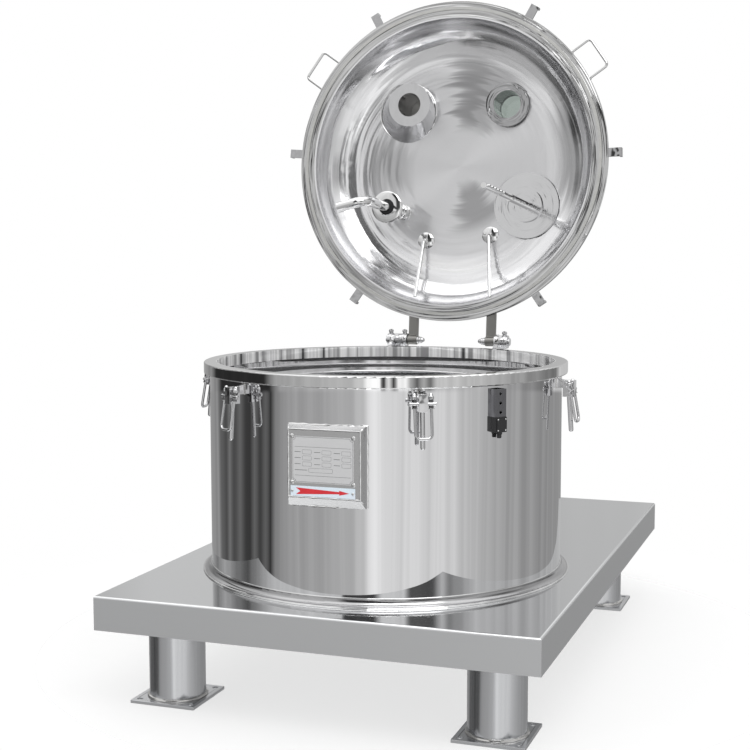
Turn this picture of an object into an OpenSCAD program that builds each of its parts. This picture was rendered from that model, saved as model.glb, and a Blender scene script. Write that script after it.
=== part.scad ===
// Basket centrifuge with a hinged lid, open for loading.
// Millimetres. +Z is up, -Y is the front, and the origin is on the floor under the middle of the base.

/* [Base] */
// Width of the base, left to right
deck_width = 1395; // [1340:5:1600]
// Depth of the base, front to back
deck_depth = 2088; // [1960:4:2300]
// Height of the base's sides
deck_height = 108; // [90:2:150]
// Sheet thickness of the base
deck_sheet = 6; // [4:1:10]
// Radius of the fold along the base's top edges
deck_fold = 8; // [5:1:12]
// Distance from the base's front edge to the drum's axis
drum_setback = 715; // [700:5:760]
// Height of the base's top above the floor
deck_top = 360; // [320:5:420]
// Diameter of a leg
leg_d = 177; // [140:1:180]
// Wall of a leg
leg_wall = 6; // [4:1:10]
// Distance from a leg's axis to the base's side
leg_side_inset = 176; // [120:2:200]
// Distance from a front leg's axis to the base's front edge
leg_front_inset = 206; // [130:2:240]
// Distance from a back leg's axis to the base's back edge
leg_back_inset = 299; // [130:2:340]
// Side of a square foot plate
foot_side = 219; // [210:1:240]
// Thickness of a foot plate
foot_plate = 10; // [8:1:20]
// Diameter of a bolt hole in a foot plate
foot_hole_d = 18; // [12:1:20]
// Distance from a bolt hole's centre to the foot plate's edge
foot_hole_inset = 22; // [18:1:24]

/* [Casing] */
// Outer diameter of the drum casing
casing_d = 1162; // [1140:2:1170]
// Wall of the drum casing
casing_wall = 6; // [4:1:10]
// How far the rim stands out from the casing
rim_overhang = 19; // [15:1:28]
// Width of the rim from its outer edge to the mouth
rim_width = 43; // [36:1:50]
// Height of the rim
rim_height = 37; // [30:1:50]
// Height of the rim's top above the base
drum_height = 686; // [640:2:720]
// How far the foot ring stands out from the casing
foot_ring_reach = 25; // [12:1:30]
// Thickness of the casing's sloping floor
casing_floor_t = 6; // [4:1:10]
// Fall of the casing's floor from the bearing to the wall
casing_floor_fall = 40; // [20:2:60]
// Outer diameter of the bearing housing
housing_d = 240; // [200:5:300]
// Height of the bearing housing above the base
housing_height = 120; // [100:5:125]

/* [Basket] */
// Outer diameter of the basket
basket_d = 1000; // [940:5:1020]
// Wall of the basket
basket_wall_t = 8; // [6:1:12]
// Height of the basket's floor above the base
basket_rise = 140; // [132:2:160]
// Thickness of the basket's floor
basket_floor_t = 12; // [10:1:20]
// Depth of the basket's lip below the rim's top
lip_drop = 70; // [60:2:100]
// Width of the basket's lip
lip_width = 118; // [90:2:130]
// Thickness of the basket's lip
lip_t = 10; // [8:1:14]
// Diameter of the basket's hub at its base
hub_d = 220; // [180:5:260]
// Height of the basket's hub above its floor
hub_height = 110; // [80:5:150]
// Diameter of the spindle
spindle_d = 70; // [60:1:80]
// Number of hoops round the basket
hoop_count = 3; // [2:1:4]
// Height of a hoop
hoop_height = 24; // [16:2:30]
// How far a hoop stands out from the basket
hoop_t = 10; // [6:1:14]

/* [Lid] */
// How far the lid is open in the stored pose
lid_open = 95; // [90:1:100]
// Distance from the rim's outer edge to the hinge axis
hinge_back = 73; // [65:1:85]
// Height of the hinge axis above the rim's top
hinge_rise = 17; // [14:1:22]
// Gap between the rim and the closed lid's flange
lid_gap = 6; // [5:1:8]
// Thickness of the lid's flange
lid_flange_t = 20; // [16:1:24]
// Width of the lid's flange
lid_flange_width = 55; // [50:1:60]
// Thickness of the lid's dish
dish_t = 6; // [4:1:8]
// Height of the dish's straight edge
dish_edge = 4; // [3:1:8]
// Outer radius of the dish's knuckle
knuckle_r = 135; // [110:5:145]
// Angle that the knuckle turns through
knuckle_turn = 84; // [82:1:86]
// Width of the gasket
gasket_width = 10; // [8:1:12]
// How far the gasket stands out of the flange
gasket_proud = 4; // [2:0.5:4]
// Depth of the gasket's groove
gasket_groove = 6; // [5:1:8]

/* [Lid fittings] */
// Place of the loading port on the lid, left and right
port_x = -186; // [-200:1:-175]
// Place of the loading port on the lid, towards the front
port_front = 232; // [215:1:240]
// Bore of the loading port
port_bore = 90; // [80:1:96]
// Outer diameter of the loading port's neck
port_neck_d = 102; // [100:1:120]
// Diameter of the loading port's cone where it meets the lid
port_base_d = 230; // [220:1:236]
// Diameter of the cone's end ring
port_ring_d = 166; // [150:1:180]
// Depth of the cone below the lid
port_depth = 80; // [60:1:100]
// How far the cone's wide end lies beside the port's axis, away from the middle line
port_lean_side = 31; // [20:1:34]
// How far the cone's wide end lies beside the port's axis, towards the hinge
port_lean_back = 21; // [10:1:30]
// How far the neck stands out of the lid
neck_out = 90; // [70:1:120]
// Place of the sight glass on the lid, left and right
sight_x = 188; // [175:1:200]
// Place of the sight glass on the lid, towards the front
sight_front = 231; // [215:1:240]
// Clear diameter of the sight glass
sight_bore = 105; // [90:1:110]
// Diameter of the sight glass's flanges
sight_flange_d = 168; // [160:1:180]
// Place of the feed pipe on the lid, left and right
feed_x = -221; // [-230:1:-205]
// Place of the feed pipe on the lid, towards the hinge
feed_back = 175; // [160:1:190]
// Outer diameter of the feed pipe
feed_d = 38; // [34:1:42]
// Wall of the feed pipe
feed_wall = 2; // [2:0.5:3]
// Length of the feed pipe's neck below the lid
feed_neck_length = 210; // [180:1:230]
// Diameter of the feed pipe's flange
feed_flange_d = 120; // [110:1:130]
// Length of the feed pipe below its flange
feed_drop = 181; // [150:1:220]
// Radius of the feed pipe's bend
feed_bend = 50; // [40:1:60]
// Length of the feed pipe's outlet after its bend
feed_outlet = 61; // [30:1:65]
// Direction of the feed pipe's outlet, from the right round to the hinge
feed_aim = 166; // [150:1:172]
// Distance of the wash pipe from the dish's right edge
wash_inset = 272; // [260:1:285]
// Place of the wash pipe on the lid, towards the hinge
wash_back = 154; // [140:1:170]
// Outer diameter of the wash pipe
wash_d = 28; // [24:1:30]
// Outer diameter of the spray rod at the wash pipe's end
spray_d = 20; // [16:1:22]
// Length of the wash pipe below the lid
wash_drop = 290; // [250:1:300]
// Length of the spray rod
spray_length = 350; // [280:1:360]
// Diameter of the wash pipe's flange
wash_flange_d = 125; // [110:1:130]
// Diameter of the pad under the wash pipe's flange
wash_pad_d = 250; // [230:1:256]
// Diameter of the two rinse tubes
rinse_d = 14; // [10:1:16]
// Distance of the left rinse tube from the lid's middle line
rinse_left_x = 126; // [115:1:135]
// Distance of the left rinse tube's hole from the dish's edge at the hinge
rinse_left_inset = 259; // [255:1:270]
// Distance of the right rinse tube from the lid's middle line
rinse_right_x = 132; // [120:1:135]
// Distance of the right rinse tube's hole from the dish's edge at the hinge
rinse_right_inset = 280; // [275:1:295]
// Reach of a lid handle
handle_reach = 77; // [60:1:80]
// Width of a lid handle between its legs
handle_span = 120; // [100:1:130]
// Diameter of a handle's rod
handle_rod = 10; // [8:1:12]
// Angle of the lid handles from the front
handle_angle = 55; // [52:1:60]

/* [Hinge] */
// Middle of the left hinge arm, from the middle line
arm_left = -126; // [-135:1:-115]
// Middle of the right hinge arm, from the middle line
arm_right = 178; // [170:1:190]
// Width of a hinge arm
arm_width = 36; // [30:1:40]
// Thickness of a hinge arm
arm_t = 14; // [12:1:18]
// Diameter of the hinge's barrels
barrel_d = 48; // [40:1:52]
// Diameter of the eyes at the ends of the hinge arms
eye_d = 36; // [34:1:44]
// Diameter of the hinge pins
hinge_pin_d = 22; // [18:1:26]
// Length of the left barrel
barrel_left = 78; // [60:1:85]
// Length of the right barrel
barrel_right = 50; // [44:1:60]
// Thickness of a hinge bracket's web
web_t = 14; // [10:1:18]

/* [Latches] */
// Angle of the two front latches from the front
latch_front = 29; // [27:1:31]
// Angle of the left latch from the front
latch_left = 86; // [84:1:92]
// Angle of the right latch from the front
latch_right = 88; // [84:1:92]
// Angle of the two back latches from the front
latch_rear = 145; // [143:1:148]
// Width of a hook on the lid
hook_width = 32; // [28:1:34]
// Reach of a hook past the lid's edge
hook_reach = 49; // [46:1:54]
// Thickness of a hook
hook_t = 8; // [6:1:9]
// Height of the lip at a hook's end
hook_lip = 18; // [14:1:22]
// Width of a latch's lug on the casing
lug_width = 12; // [10:1:14]
// Distance from the casing to a latch's pivot
pivot_out = 35; // [33:1:38]
// Depth of a latch's pivot below the rim
pivot_drop = 24; // [22:1:26]
// Diameter of a latch's pivot pin
latch_pin_d = 10; // [8:1:12]
// Width of a lever's head
head_width = 26; // [24:1:30]
// Length of a lever's head
head_length = 52; // [50:1:56]
// Diameter of a lever's rod
lever_rod = 15; // [12:1:16]
// Length of a lever's rod
lever_length = 113; // [90:1:120]
// Diameter of a latch's cross bar
bar_d = 12; // [10:1:13]
// Length of a latch's cross bar
bar_length = 78; // [76:1:84]
// Distance between a bail's legs
bail_span = 49; // [48:1:54]
// Diameter of a bail's rod
bail_rod = 9; // [7:1:9]
// Distance from the cross bar to a bail's far side
bail_length = 101; // [99:1:103]
// How far a bail's threaded ends stand past the cross bar
bail_end = 26; // [20:1:28]

/* [Front fittings] */
// Width of the plate box's face
box_width = 226; // [200:2:240]
// Height of the plate box's face
box_height = 202; // [180:2:220]
// Distance from the casing to the plate box's face
box_reach = 20; // [16:1:40]
// Place of the plate box from the middle line
box_x = 18; // [0:1:30]
// Height of the plate box's middle above the base
box_rise = 426; // [400:2:440]
// Angle of the lid switch from the front
switch_angle = 54; // [50:1:62]
// Width of the lid switch and its bracket
switch_width = 42; // [36:1:50]
// How far the lid switch stands out from the casing
switch_depth = 23; // [22:1:34]

/* [Drive and drain] */
// Diameter of the motor cover
motor_d = 400; // [360:5:440]
// Height of the motor cover
motor_height = 520; // [460:5:560]
// Distance from the drum's axis to the motor's axis
motor_back = 1000; // [960:5:1060]
// Direction of the drain pipe from the front, to the left
drain_angle = 160; // [155:1:170]
// Outer diameter of the drain pipe
drain_d = 76; // [60:1:90]
// Wall of the drain pipe
drain_wall = 3; // [2:1:4]
// Distance from the casing to the drain pipe's end
drain_reach = 110; // [90:5:130]

/* [Hidden] */
$fn = 96;
steel = "lightgray";
polished = "silver";

// Overlap that makes a cut run past a face
past = 1;
// Radial clearance of a pin that turns in its hole
running = 0.05;
// Side clearance between hinged pieces
side_play = 1;

deck_bottom = deck_top - deck_height;
drum_y = drum_setback - deck_depth / 2;
leg_x = deck_width / 2 - leg_side_inset;
leg_front_y = leg_front_inset - deck_depth / 2;
leg_back_y = deck_depth / 2 - leg_back_inset;
foot_hole_at = foot_side / 2 - foot_hole_inset;
cover_t = 4;

casing_r = casing_d / 2;
casing_inner_r = casing_r - casing_wall;
rim_r = casing_r + rim_overhang;
mouth_r = rim_r - rim_width;
rim_top = deck_top + drum_height;
rim_bottom = rim_top - rim_height;
foot_ring_height = foot_ring_reach;
drain_rise = foot_ring_height + drain_d / 2 + cover_t;

basket_r = basket_d / 2;
basket_bottom = deck_top + basket_rise;
basket_top = rim_top - lip_drop;
lip_inner_r = basket_r - lip_width;
spindle_r = spindle_d / 2;
spindle_foot = 20;
hub_collar = 25;
hub_top_d = spindle_d + 2 * hub_collar;
hub_bore = hub_height - hub_top_d / 4;

hinge_y = rim_r + hinge_back;
hinge_z = rim_top + hinge_rise;
// Fixed barrels and the lid's eyes lie side by side on the hinge axis
left_barrel_x = arm_left - arm_width / 2 - side_play - barrel_left / 2;
right_barrel_x = arm_right + arm_width / 2 + side_play + barrel_right / 2;
lid_r = rim_r;
dish_r = lid_r - lid_flange_width;
knuckle_x = dish_r - knuckle_r;
crown_r = knuckle_x / cos(knuckle_turn) + knuckle_r;
crown_z = dish_edge - knuckle_x * tan(knuckle_turn);
dish_height = crown_z + crown_r;
crown_steps = 1440;
gasket_r = lid_r - (rim_width + gasket_width) / 2;
// Gap between the dish and what is welded on inside it
weld_gap = 0.5;

ferrule_t = 8;
ferrule_reach = 14;
flange_plate = 12;
port_z = dish_at(norm([port_x, port_front]));
sight_z = dish_at(norm([sight_x, sight_front]));
sight_below = 28;
sight_above = 70;
sight_seat_r = sight_bore / 2 + dish_t;
pane_t = 12;
feed_z = dish_at(norm([feed_x, feed_back]));
wash_x = dish_r - wash_inset;
wash_z = dish_at(norm([wash_x, wash_back]));
rinse_left_back = dish_r - rinse_left_inset;
rinse_right_back = dish_r - rinse_right_inset;

latch_angles = [-latch_rear, -latch_left, -latch_front, latch_front, latch_right, latch_rear];
pivot_r = casing_r + pivot_out;
pivot_z = rim_bottom - pivot_drop;
bar_out = 16;
bar_drop = 16;
bar_r = pivot_r + bar_out;
bar_z = pivot_z - bar_drop;
head_above = 13;
lug_eye_r = 12;
head_inner = 12;
head_outer = 26;
lever_lean = 4;
bail_lean = 10;

switch_bracket_drop = 10;
switch_bracket_height = 84;
switch_bracket_t = 3;
switch_stand = 19;
switch_top = rim_bottom - switch_bracket_drop - switch_bracket_height;

// Height of the dish's outer face over the seat plane, at a distance from its middle
function dish_at(r) = crown_z + sqrt(crown_r * crown_r - r * r);

// Everything that stands round the drum's axis
module at_drum() {
    translate([0, drum_y, 0]) children();
}

// The lid's own frame: its middle on the seat plane, +Z out of the closed lid
module at_lid() {
    translate([0, drum_y + hinge_y, hinge_z])
        rotate([-lid_open, 0, 0])
            translate([0, -hinge_y, lid_gap - hinge_rise])
                children();
}

// A latch's own frame: -Y points out from the drum's axis
module at_angle(angle) {
    at_drum() rotate([0, 0, angle]) children();
}

module tube(outer_r, inner_r, height) {
    difference() {
        cylinder(r = outer_r, h = height);
        translate([0, 0, -past]) cylinder(r = inner_r, h = height + 2 * past);
    }
}

// A bar along X, centred on the axis
module bar_x(radius, length) {
    rotate([0, 90, 0]) cylinder(r = radius, h = length, center = true);
}

// A rod bent to a U: legs along +Z from the origin, spread along X
module u_rod(span, reach, rod_r, bend_r) {
    leg = reach - bend_r;
    for (side = [-1, 1]) {
        translate([side * span / 2, 0, 0]) cylinder(r = rod_r, h = leg);
        translate([side * (span / 2 - bend_r), 0, leg])
            rotate([90, 0, 0])
                rotate([0, 0, side > 0 ? 0 : 90])
                    rotate_extrude(angle = 90) translate([bend_r, 0]) circle(r = rod_r, $fn = 32);
    }
    translate([0, 0, reach]) bar_x(rod_r, span - 2 * bend_r);
}

// Outline of the base seen end on, with its top edges folded round
module fold_outline(width) {
    steps = 4;
    half = width / 2;
    corner = [for (i = [0 : steps]) [
        half - deck_fold + deck_fold * cos(i * 90 / steps),
        deck_height - deck_fold + deck_fold * sin(i * 90 / steps)
    ]];
    polygon(concat(
        [[-half, 0], [half, 0]],
        corner,
        [for (i = [steps : -1 : 0]) [-corner[i][0], corner[i][1]]]
    ));
}

module base_tray() {
    color(steel) translate([0, 0, deck_bottom]) difference() {
        intersection() {
            rotate([90, 0, 0]) linear_extrude(deck_depth, center = true) fold_outline(deck_width);
            rotate([90, 0, 90]) linear_extrude(deck_width, center = true) fold_outline(deck_depth);
        }
        translate([deck_sheet - deck_width / 2, deck_sheet - deck_depth / 2, -past])
            cube([deck_width - 2 * deck_sheet, deck_depth - 2 * deck_sheet, deck_height - deck_sheet + past]);
    }
}

module base_underside() {
    color(steel) translate([0, 0, deck_bottom + cover_t / 2])
        cube([deck_width - 2 * deck_sheet, deck_depth - 2 * deck_sheet, cover_t], center = true);
}

module at_legs() {
    for (x = [-leg_x, leg_x])
        for (y = [leg_front_y, leg_back_y])
            translate([x, y, 0]) children();
}

module legs() {
    color(polished) at_legs()
        translate([0, 0, foot_plate])
            tube(leg_d / 2, leg_d / 2 - leg_wall, deck_bottom - foot_plate);
}

module foot_plates() {
    color(steel) at_legs() difference() {
        translate([-foot_side / 2, -foot_side / 2, 0]) cube([foot_side, foot_side, foot_plate]);
        for (x = [-foot_hole_at, foot_hole_at])
            for (y = [-foot_hole_at, foot_hole_at])
                translate([x, y, -past]) cylinder(d = foot_hole_d, h = foot_plate + 2 * past);
    }
}

module drum_casing() {
    drain_hole_r = drain_d / 2;
    color(polished) difference() {
        at_drum() translate([0, 0, deck_top]) tube(casing_r, casing_inner_r, drum_height - rim_height);
        at_drain() translate([0, 0, casing_inner_r - 10 * past]) cylinder(r = drain_hole_r, h = drain_reach);
    }
}

module casing_floor() {
    color(steel) at_drum() translate([0, 0, deck_top]) rotate_extrude()
        polygon([
            [housing_d / 2, casing_floor_fall],
            [casing_inner_r, 0],
            [casing_inner_r, casing_floor_t],
            [housing_d / 2, casing_floor_fall + casing_floor_t]
        ]);
}

module drum_rim() {
    edge = 4;
    color(polished) at_drum() translate([0, 0, rim_bottom]) rotate_extrude() union() {
        translate([mouth_r, 0]) square([rim_width - edge, rim_height]);
        translate([mouth_r, edge]) square([rim_width, rim_height - 2 * edge]);
        for (z = [edge, rim_height - edge])
            translate([rim_r - edge, z]) circle(r = edge, $fn = 32);
    }
}

module drum_foot_ring() {
    color(polished) at_drum() translate([0, 0, deck_top]) rotate_extrude() difference() {
        translate([casing_r, 0]) square([foot_ring_reach, foot_ring_height]);
        translate([casing_r + foot_ring_reach, foot_ring_height])
            circle(r = foot_ring_reach - cover_t);
    }
}

module bearing_housing() {
    flange_t = 20;
    color(steel) at_drum() translate([0, 0, deck_top]) difference() {
        cylinder(d = housing_d, h = housing_height);
        translate([0, 0, flange_t]) cylinder(r = spindle_r + running, h = housing_height);
    }
}

// A lug on the casing carries each latch: a round eye on a web that widens towards the casing
module latch_lugs() {
    top_gap = 4;
    root = pivot_out + casing_wall;
    color(steel) for (angle = latch_angles) difference() {
        at_angle(angle) translate([-lug_width / 2, -pivot_r, pivot_z]) difference() {
            rotate([90, 0, 90]) linear_extrude(lug_width) union() {
                circle(r = lug_eye_r);
                polygon([
                    [0, -lug_eye_r],
                    [root, -lug_eye_r],
                    [root, pivot_drop - top_gap],
                    [0, lug_eye_r]
                ]);
            }
            translate([lug_width / 2, 0, 0]) bar_x(latch_pin_d / 2 + running, lug_width + 2 * past);
        }
        at_drum() translate([0, 0, deck_top]) cylinder(r = casing_r, h = drum_height);
    }
}

module at_hinge() {
    translate([0, drum_y + hinge_y, hinge_z]) children();
}

module hinge_brackets() {
    foot_drop = 116;
    foot_depth = 90;
    web_top = barrel_d / 2;
    color(steel) for (barrel = [[left_barrel_x, barrel_left], [right_barrel_x, barrel_right]])
        difference() {
            union() {
                translate([barrel[0], 0, 0]) at_hinge() bar_x(barrel_d / 2, barrel[1]);
                translate([barrel[0] - web_t / 2, 0, 0]) at_hinge() rotate([90, 0, 90])
                    linear_extrude(web_t) polygon([
                        [-hinge_back - foot_depth, -foot_drop],
                        [-hinge_back + web_t, -foot_drop],
                        [web_top, 0],
                        [0, web_top],
                        [-hinge_back, web_top - hinge_rise],
                        [-hinge_back - foot_depth, -hinge_rise - rim_height]
                    ]);
            }
            translate([barrel[0], 0, 0]) at_hinge() bar_x(hinge_pin_d / 2 + running, barrel[1] + 2 * past);
            at_drum() cylinder(r = casing_r, h = rim_bottom + past);
            at_drum() translate([0, 0, rim_bottom]) cylinder(r = rim_r, h = rim_height + hinge_rise + barrel_d);
        }
}

module hinge_pins() {
    knob_t = 6;
    knob_r = hinge_pin_d / 2 + 3;
    left_end = left_barrel_x - barrel_left / 2 - side_play;
    right_end = arm_left + arm_width / 2 + side_play;
    left_far = arm_right - arm_width / 2 - side_play;
    right_far = right_barrel_x + barrel_right / 2 + side_play;
    color(steel) for (pin = [[left_end, right_end], [left_far, right_far]])
        translate([(pin[0] + pin[1]) / 2, 0, 0]) at_hinge() {
            bar_x(hinge_pin_d / 2, pin[1] - pin[0] + knob_t);
            for (side = [-1, 1])
                translate([side * (pin[1] - pin[0] + knob_t) / 2, 0, 0]) bar_x(knob_r, knob_t);
        }
}

module plate_box() {
    side_slope = 10;
    top_slope = 12;
    bottom_slope = 29;
    depth = box_reach + casing_r;
    near = casing_r - box_width / 4;
    color(steel) difference() {
        at_drum() translate([box_x, 0, deck_top + box_rise]) intersection() {
            translate([0, 0, -box_height]) linear_extrude(2 * box_height) polygon([
                [-box_width / 2 - side_slope, -near],
                [-box_width / 2 - side_slope, -casing_r + past],
                [-box_width / 2, -depth],
                [box_width / 2, -depth],
                [box_width / 2 + side_slope, -casing_r + past],
                [box_width / 2 + side_slope, -near]
            ]);
            rotate([90, 0, 90]) linear_extrude(2 * box_width, center = true) polygon([
                [-near, -box_height / 2 - bottom_slope],
                [-near, box_height / 2 + top_slope],
                [-casing_r, box_height / 2 + top_slope],
                [-depth, box_height / 2],
                [-depth, -box_height / 2],
                [-casing_r, -box_height / 2 - bottom_slope]
            ]);
        }
        at_drum() cylinder(r = casing_r, h = rim_top);
    }
}

// A folded channel on the casing carries the lid switch at its lower end
module switch_bracket() {
    hole_r = 5;
    holes = 3;
    inside = switch_width - 2 * switch_bracket_t;
    color(steel) difference() {
        at_angle(switch_angle) translate([0, -casing_r - switch_stand, switch_top]) difference() {
            translate([-switch_width / 2, 0, 0])
                cube([switch_width, 2 * switch_stand, switch_bracket_height]);
            translate([-inside / 2, switch_bracket_t, -past])
                cube([inside, 2 * switch_stand, switch_bracket_height + 2 * past]);
            for (i = [0 : holes - 1])
                translate([0, -past, (i + 0.5) * switch_bracket_height / holes])
                    rotate([-90, 0, 0]) cylinder(r = hole_r, h = switch_bracket_t + 2 * past);
        }
        at_drum() cylinder(r = casing_r, h = rim_top);
    }
}

module lid_switch() {
    height = 46;
    color("dimgray") difference() {
        at_angle(switch_angle)
            translate([-switch_width / 2, -casing_r - switch_depth, switch_top - height])
                cube([switch_width, 2 * switch_depth, height]);
        at_drum() cylinder(r = casing_r, h = rim_top);
    }
}

module motor_cover() {
    dome = 30;
    skirt = 20;
    skirt_t = 12;
    color(polished) at_drum() translate([0, motor_back, deck_top]) rotate_extrude() union() {
        square([motor_d / 2, motor_height - dome]);
        square([motor_d / 2 - dome, motor_height]);
        translate([motor_d / 2 - dome, motor_height - dome]) circle(r = dome);
        square([motor_d / 2 + skirt, skirt_t]);
    }
}

module at_drain() {
    at_angle(-drain_angle) translate([0, 0, deck_top + drain_rise]) rotate([90, 0, 0]) children();
}

module drain_pipe() {
    ferrule_d = drain_d + 2 * ferrule_reach;
    start = casing_inner_r - 10 * past;
    end = casing_r + drain_reach;
    color(polished) at_drain() difference() {
        union() {
            translate([0, 0, start]) cylinder(d = drain_d, h = end - start);
            translate([0, 0, end - ferrule_t]) cylinder(d = ferrule_d, h = ferrule_t);
        }
        translate([0, 0, start - past]) cylinder(d = drain_d - 2 * drain_wall, h = end - start + 2 * past);
    }
}

module basket_wall() {
    height = basket_top - basket_bottom - lip_t;
    color(steel) at_drum() translate([0, 0, basket_bottom])
        tube(basket_r, basket_r - basket_wall_t, height);
}

module basket_hoops() {
    height = basket_top - basket_bottom - lip_t;
    step = height / (hoop_count + 1);
    color(steel) at_drum() for (i = [1 : hoop_count])
        translate([0, 0, basket_bottom + i * step - hoop_height / 2])
            tube(basket_r + hoop_t, basket_r, hoop_height);
}

module basket_lip() {
    color(polished) at_drum() translate([0, 0, basket_top - lip_t]) rotate_extrude() union() {
        translate([lip_inner_r + lip_t / 2, 0]) square([lip_width - lip_t, lip_t]);
        for (r = [lip_inner_r + lip_t / 2, basket_r - lip_t / 2])
            translate([r, lip_t / 2]) circle(d = lip_t, $fn = 32);
    }
}

module basket_floor() {
    color(steel) at_drum() translate([0, 0, basket_bottom])
        tube(basket_r - basket_wall_t, spindle_r, basket_floor_t);
}

module basket_hub() {
    color(polished) at_drum() translate([0, 0, basket_bottom + basket_floor_t]) difference() {
        rotate_extrude() polygon([
            [0, 0],
            [hub_d / 2, 0],
            [hub_d / 2, basket_floor_t],
            [hub_top_d / 2, hub_height - basket_floor_t],
            [hub_top_d / 2, hub_height],
            [0, hub_height]
        ]);
        translate([0, 0, -past]) cylinder(r = spindle_r, h = hub_bore);
    }
}

module spindle() {
    top = basket_bottom + basket_floor_t + hub_bore - past;
    foot = deck_top + spindle_foot + side_play;
    color(steel) at_drum() translate([0, 0, foot]) cylinder(r = spindle_r, h = top - foot);
}

// Half outline of the pressed dish: a straight edge, a knuckle and a shallow crown
module dish_outline() {
    wide = 2 * dish_r;
    union() {
        translate([dish_r - dish_t, 0]) square([dish_t, dish_edge]);
        intersection() {
            translate([knuckle_x, dish_edge]) difference() {
                circle(r = knuckle_r);
                circle(r = knuckle_r - dish_t);
            }
            polygon([
                [knuckle_x, dish_edge],
                [knuckle_x + wide, dish_edge],
                [knuckle_x + wide, dish_edge + wide],
                [knuckle_x + wide * cos(knuckle_turn), dish_edge + wide * sin(knuckle_turn)]
            ]);
        }
        intersection() {
            translate([0, crown_z]) difference() {
                circle(r = crown_r, $fn = crown_steps);
                circle(r = crown_r - dish_t, $fn = crown_steps);
            }
            polygon([
                [0, 0],
                [knuckle_x, dish_edge],
                [knuckle_x + wide * cos(knuckle_turn), dish_edge + wide * sin(knuckle_turn)],
                [0, dish_edge + wide]
            ]);
        }
    }
}

module lid_holes() {
    long = 4 * dish_height;
    for (hole = [
        [port_x, -port_front, port_neck_d / 2],
        [sight_x, -sight_front, sight_seat_r],
        [feed_x, feed_back, feed_d / 2 + dish_t],
        [wash_x, wash_back, wash_d / 2 + dish_t]
    ])
        translate([hole[0], hole[1], -long / 2]) cylinder(r = hole[2], h = long);
    for (hole = [[-rinse_left_x, rinse_left_back], [rinse_right_x, rinse_right_back]])
        translate([hole[0], hole[1], -long / 2]) cylinder(d = rinse_d, h = long);
}

module lid_dish() {
    color(polished) at_lid() difference() {
        rotate_extrude() dish_outline();
        lid_holes();
    }
}

module lid_flange() {
    color(polished) at_lid() difference() {
        tube(lid_r, dish_r, lid_flange_t);
        translate([0, 0, -past]) tube(gasket_r + gasket_width / 2, gasket_r - gasket_width / 2, gasket_groove + past);
    }
}

module lid_gasket() {
    color("dimgray") at_lid() translate([0, 0, -gasket_proud])
        tube(gasket_r + gasket_width / 2, gasket_r - gasket_width / 2, gasket_groove + gasket_proud);
}

module lid_hooks() {
    lip_t = 9;
    root = 30;
    rise = 2;
    color(steel) at_lid() for (angle = latch_angles) rotate([0, 0, angle]) difference() {
        union() {
            translate([-hook_width / 2, -lid_r - hook_reach, rise])
                cube([hook_width, hook_reach + root, hook_t]);
            translate([-hook_width / 2, -lid_r - hook_reach, rise])
                cube([hook_width, lip_t, hook_t + hook_lip]);
        }
        rotate([0, 0, -angle]) translate([0, 0, -past]) cylinder(r = lid_r, h = lid_flange_t + past);
    }
}

module lid_handles() {
    bend = 14;
    color(polished) at_lid() for (side = [-1, 1]) difference() {
        rotate([0, 0, side * handle_angle])
            translate([0, -lid_r + bend, lid_flange_t / 2])
                rotate([90, 0, 0]) u_rod(handle_span, handle_reach + bend, handle_rod / 2, bend);
        translate([0, 0, -past]) cylinder(r = lid_r, h = lid_flange_t + 2 * past);
    }
}

module hinge_arms() {
    on_lid = 60;
    eye_z = hinge_rise - lid_gap;
    arm_z = lid_flange_t - arm_t / 2;
    color(steel) at_lid() for (x = [arm_left, arm_right]) difference() {
        union() {
            translate([x, hinge_y, eye_z]) bar_x(eye_d / 2, arm_width);
            translate([x - arm_width / 2, lid_r - on_lid, arm_z]) cube([arm_width, hinge_back + on_lid, arm_t]);
        }
        translate([x, hinge_y, eye_z]) bar_x(hinge_pin_d / 2 + running, arm_width + 2 * past);
        translate([0, 0, -past]) cylinder(r = lid_r, h = lid_flange_t + past);
    }
}

// A round neck through the dish, with a clamp ferrule outside
module neck(outer_d, inner_r, below, above) {
    difference() {
        union() {
            translate([0, 0, -below]) cylinder(d = outer_d, h = below + above);
            translate([0, 0, above - ferrule_t]) cylinder(d = outer_d + 2 * ferrule_reach, h = ferrule_t);
            children();
        }
        translate([0, 0, -below - past]) cylinder(r = inner_r, h = below + above + 2 * past);
    }
}

// The cone's wide end lies beside the port's axis, its end ring round the bore
module loading_port() {
    slice = 1;
    color(polished) at_lid() translate([port_x, -port_front, port_z]) difference() {
        union() {
            translate([0, 0, -port_depth]) cylinder(d = port_neck_d, h = port_depth + neck_out);
            translate([0, 0, neck_out - ferrule_t])
                cylinder(d = port_neck_d + 2 * ferrule_reach, h = ferrule_t);
            difference() {
                hull() {
                    translate([-port_lean_side, port_lean_back, 0])
                        cylinder(d = port_base_d, h = slice, $fn = 64);
                    translate([0, 0, -port_depth]) cylinder(d = port_ring_d, h = slice, $fn = 64);
                }
                translate([-port_x, port_front, crown_z - port_z]) sphere_cut();
            }
        }
        translate([0, 0, -2 * port_depth]) cylinder(d = port_bore, h = 2 * port_depth + 2 * neck_out);
    }
}

// What lies outside the dish's inner face
module sphere_cut() {
    difference() {
        translate([-dish_r, -dish_r, crown_r - 2 * dish_height]) cube([2 * dish_r, 2 * dish_r, 3 * dish_height]);
        sphere(r = crown_r - dish_t - weld_gap, $fn = 300);
    }
}

// What lies outside the knuckle's inner face
module knuckle_cut() {
    start = knuckle_x + knuckle_r * cos(knuckle_turn);
    rotate_extrude() difference() {
        translate([start, dish_edge]) square([dish_r, dish_height]);
        translate([knuckle_x, dish_edge]) circle(r = knuckle_r - dish_t - weld_gap);
    }
}

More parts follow.
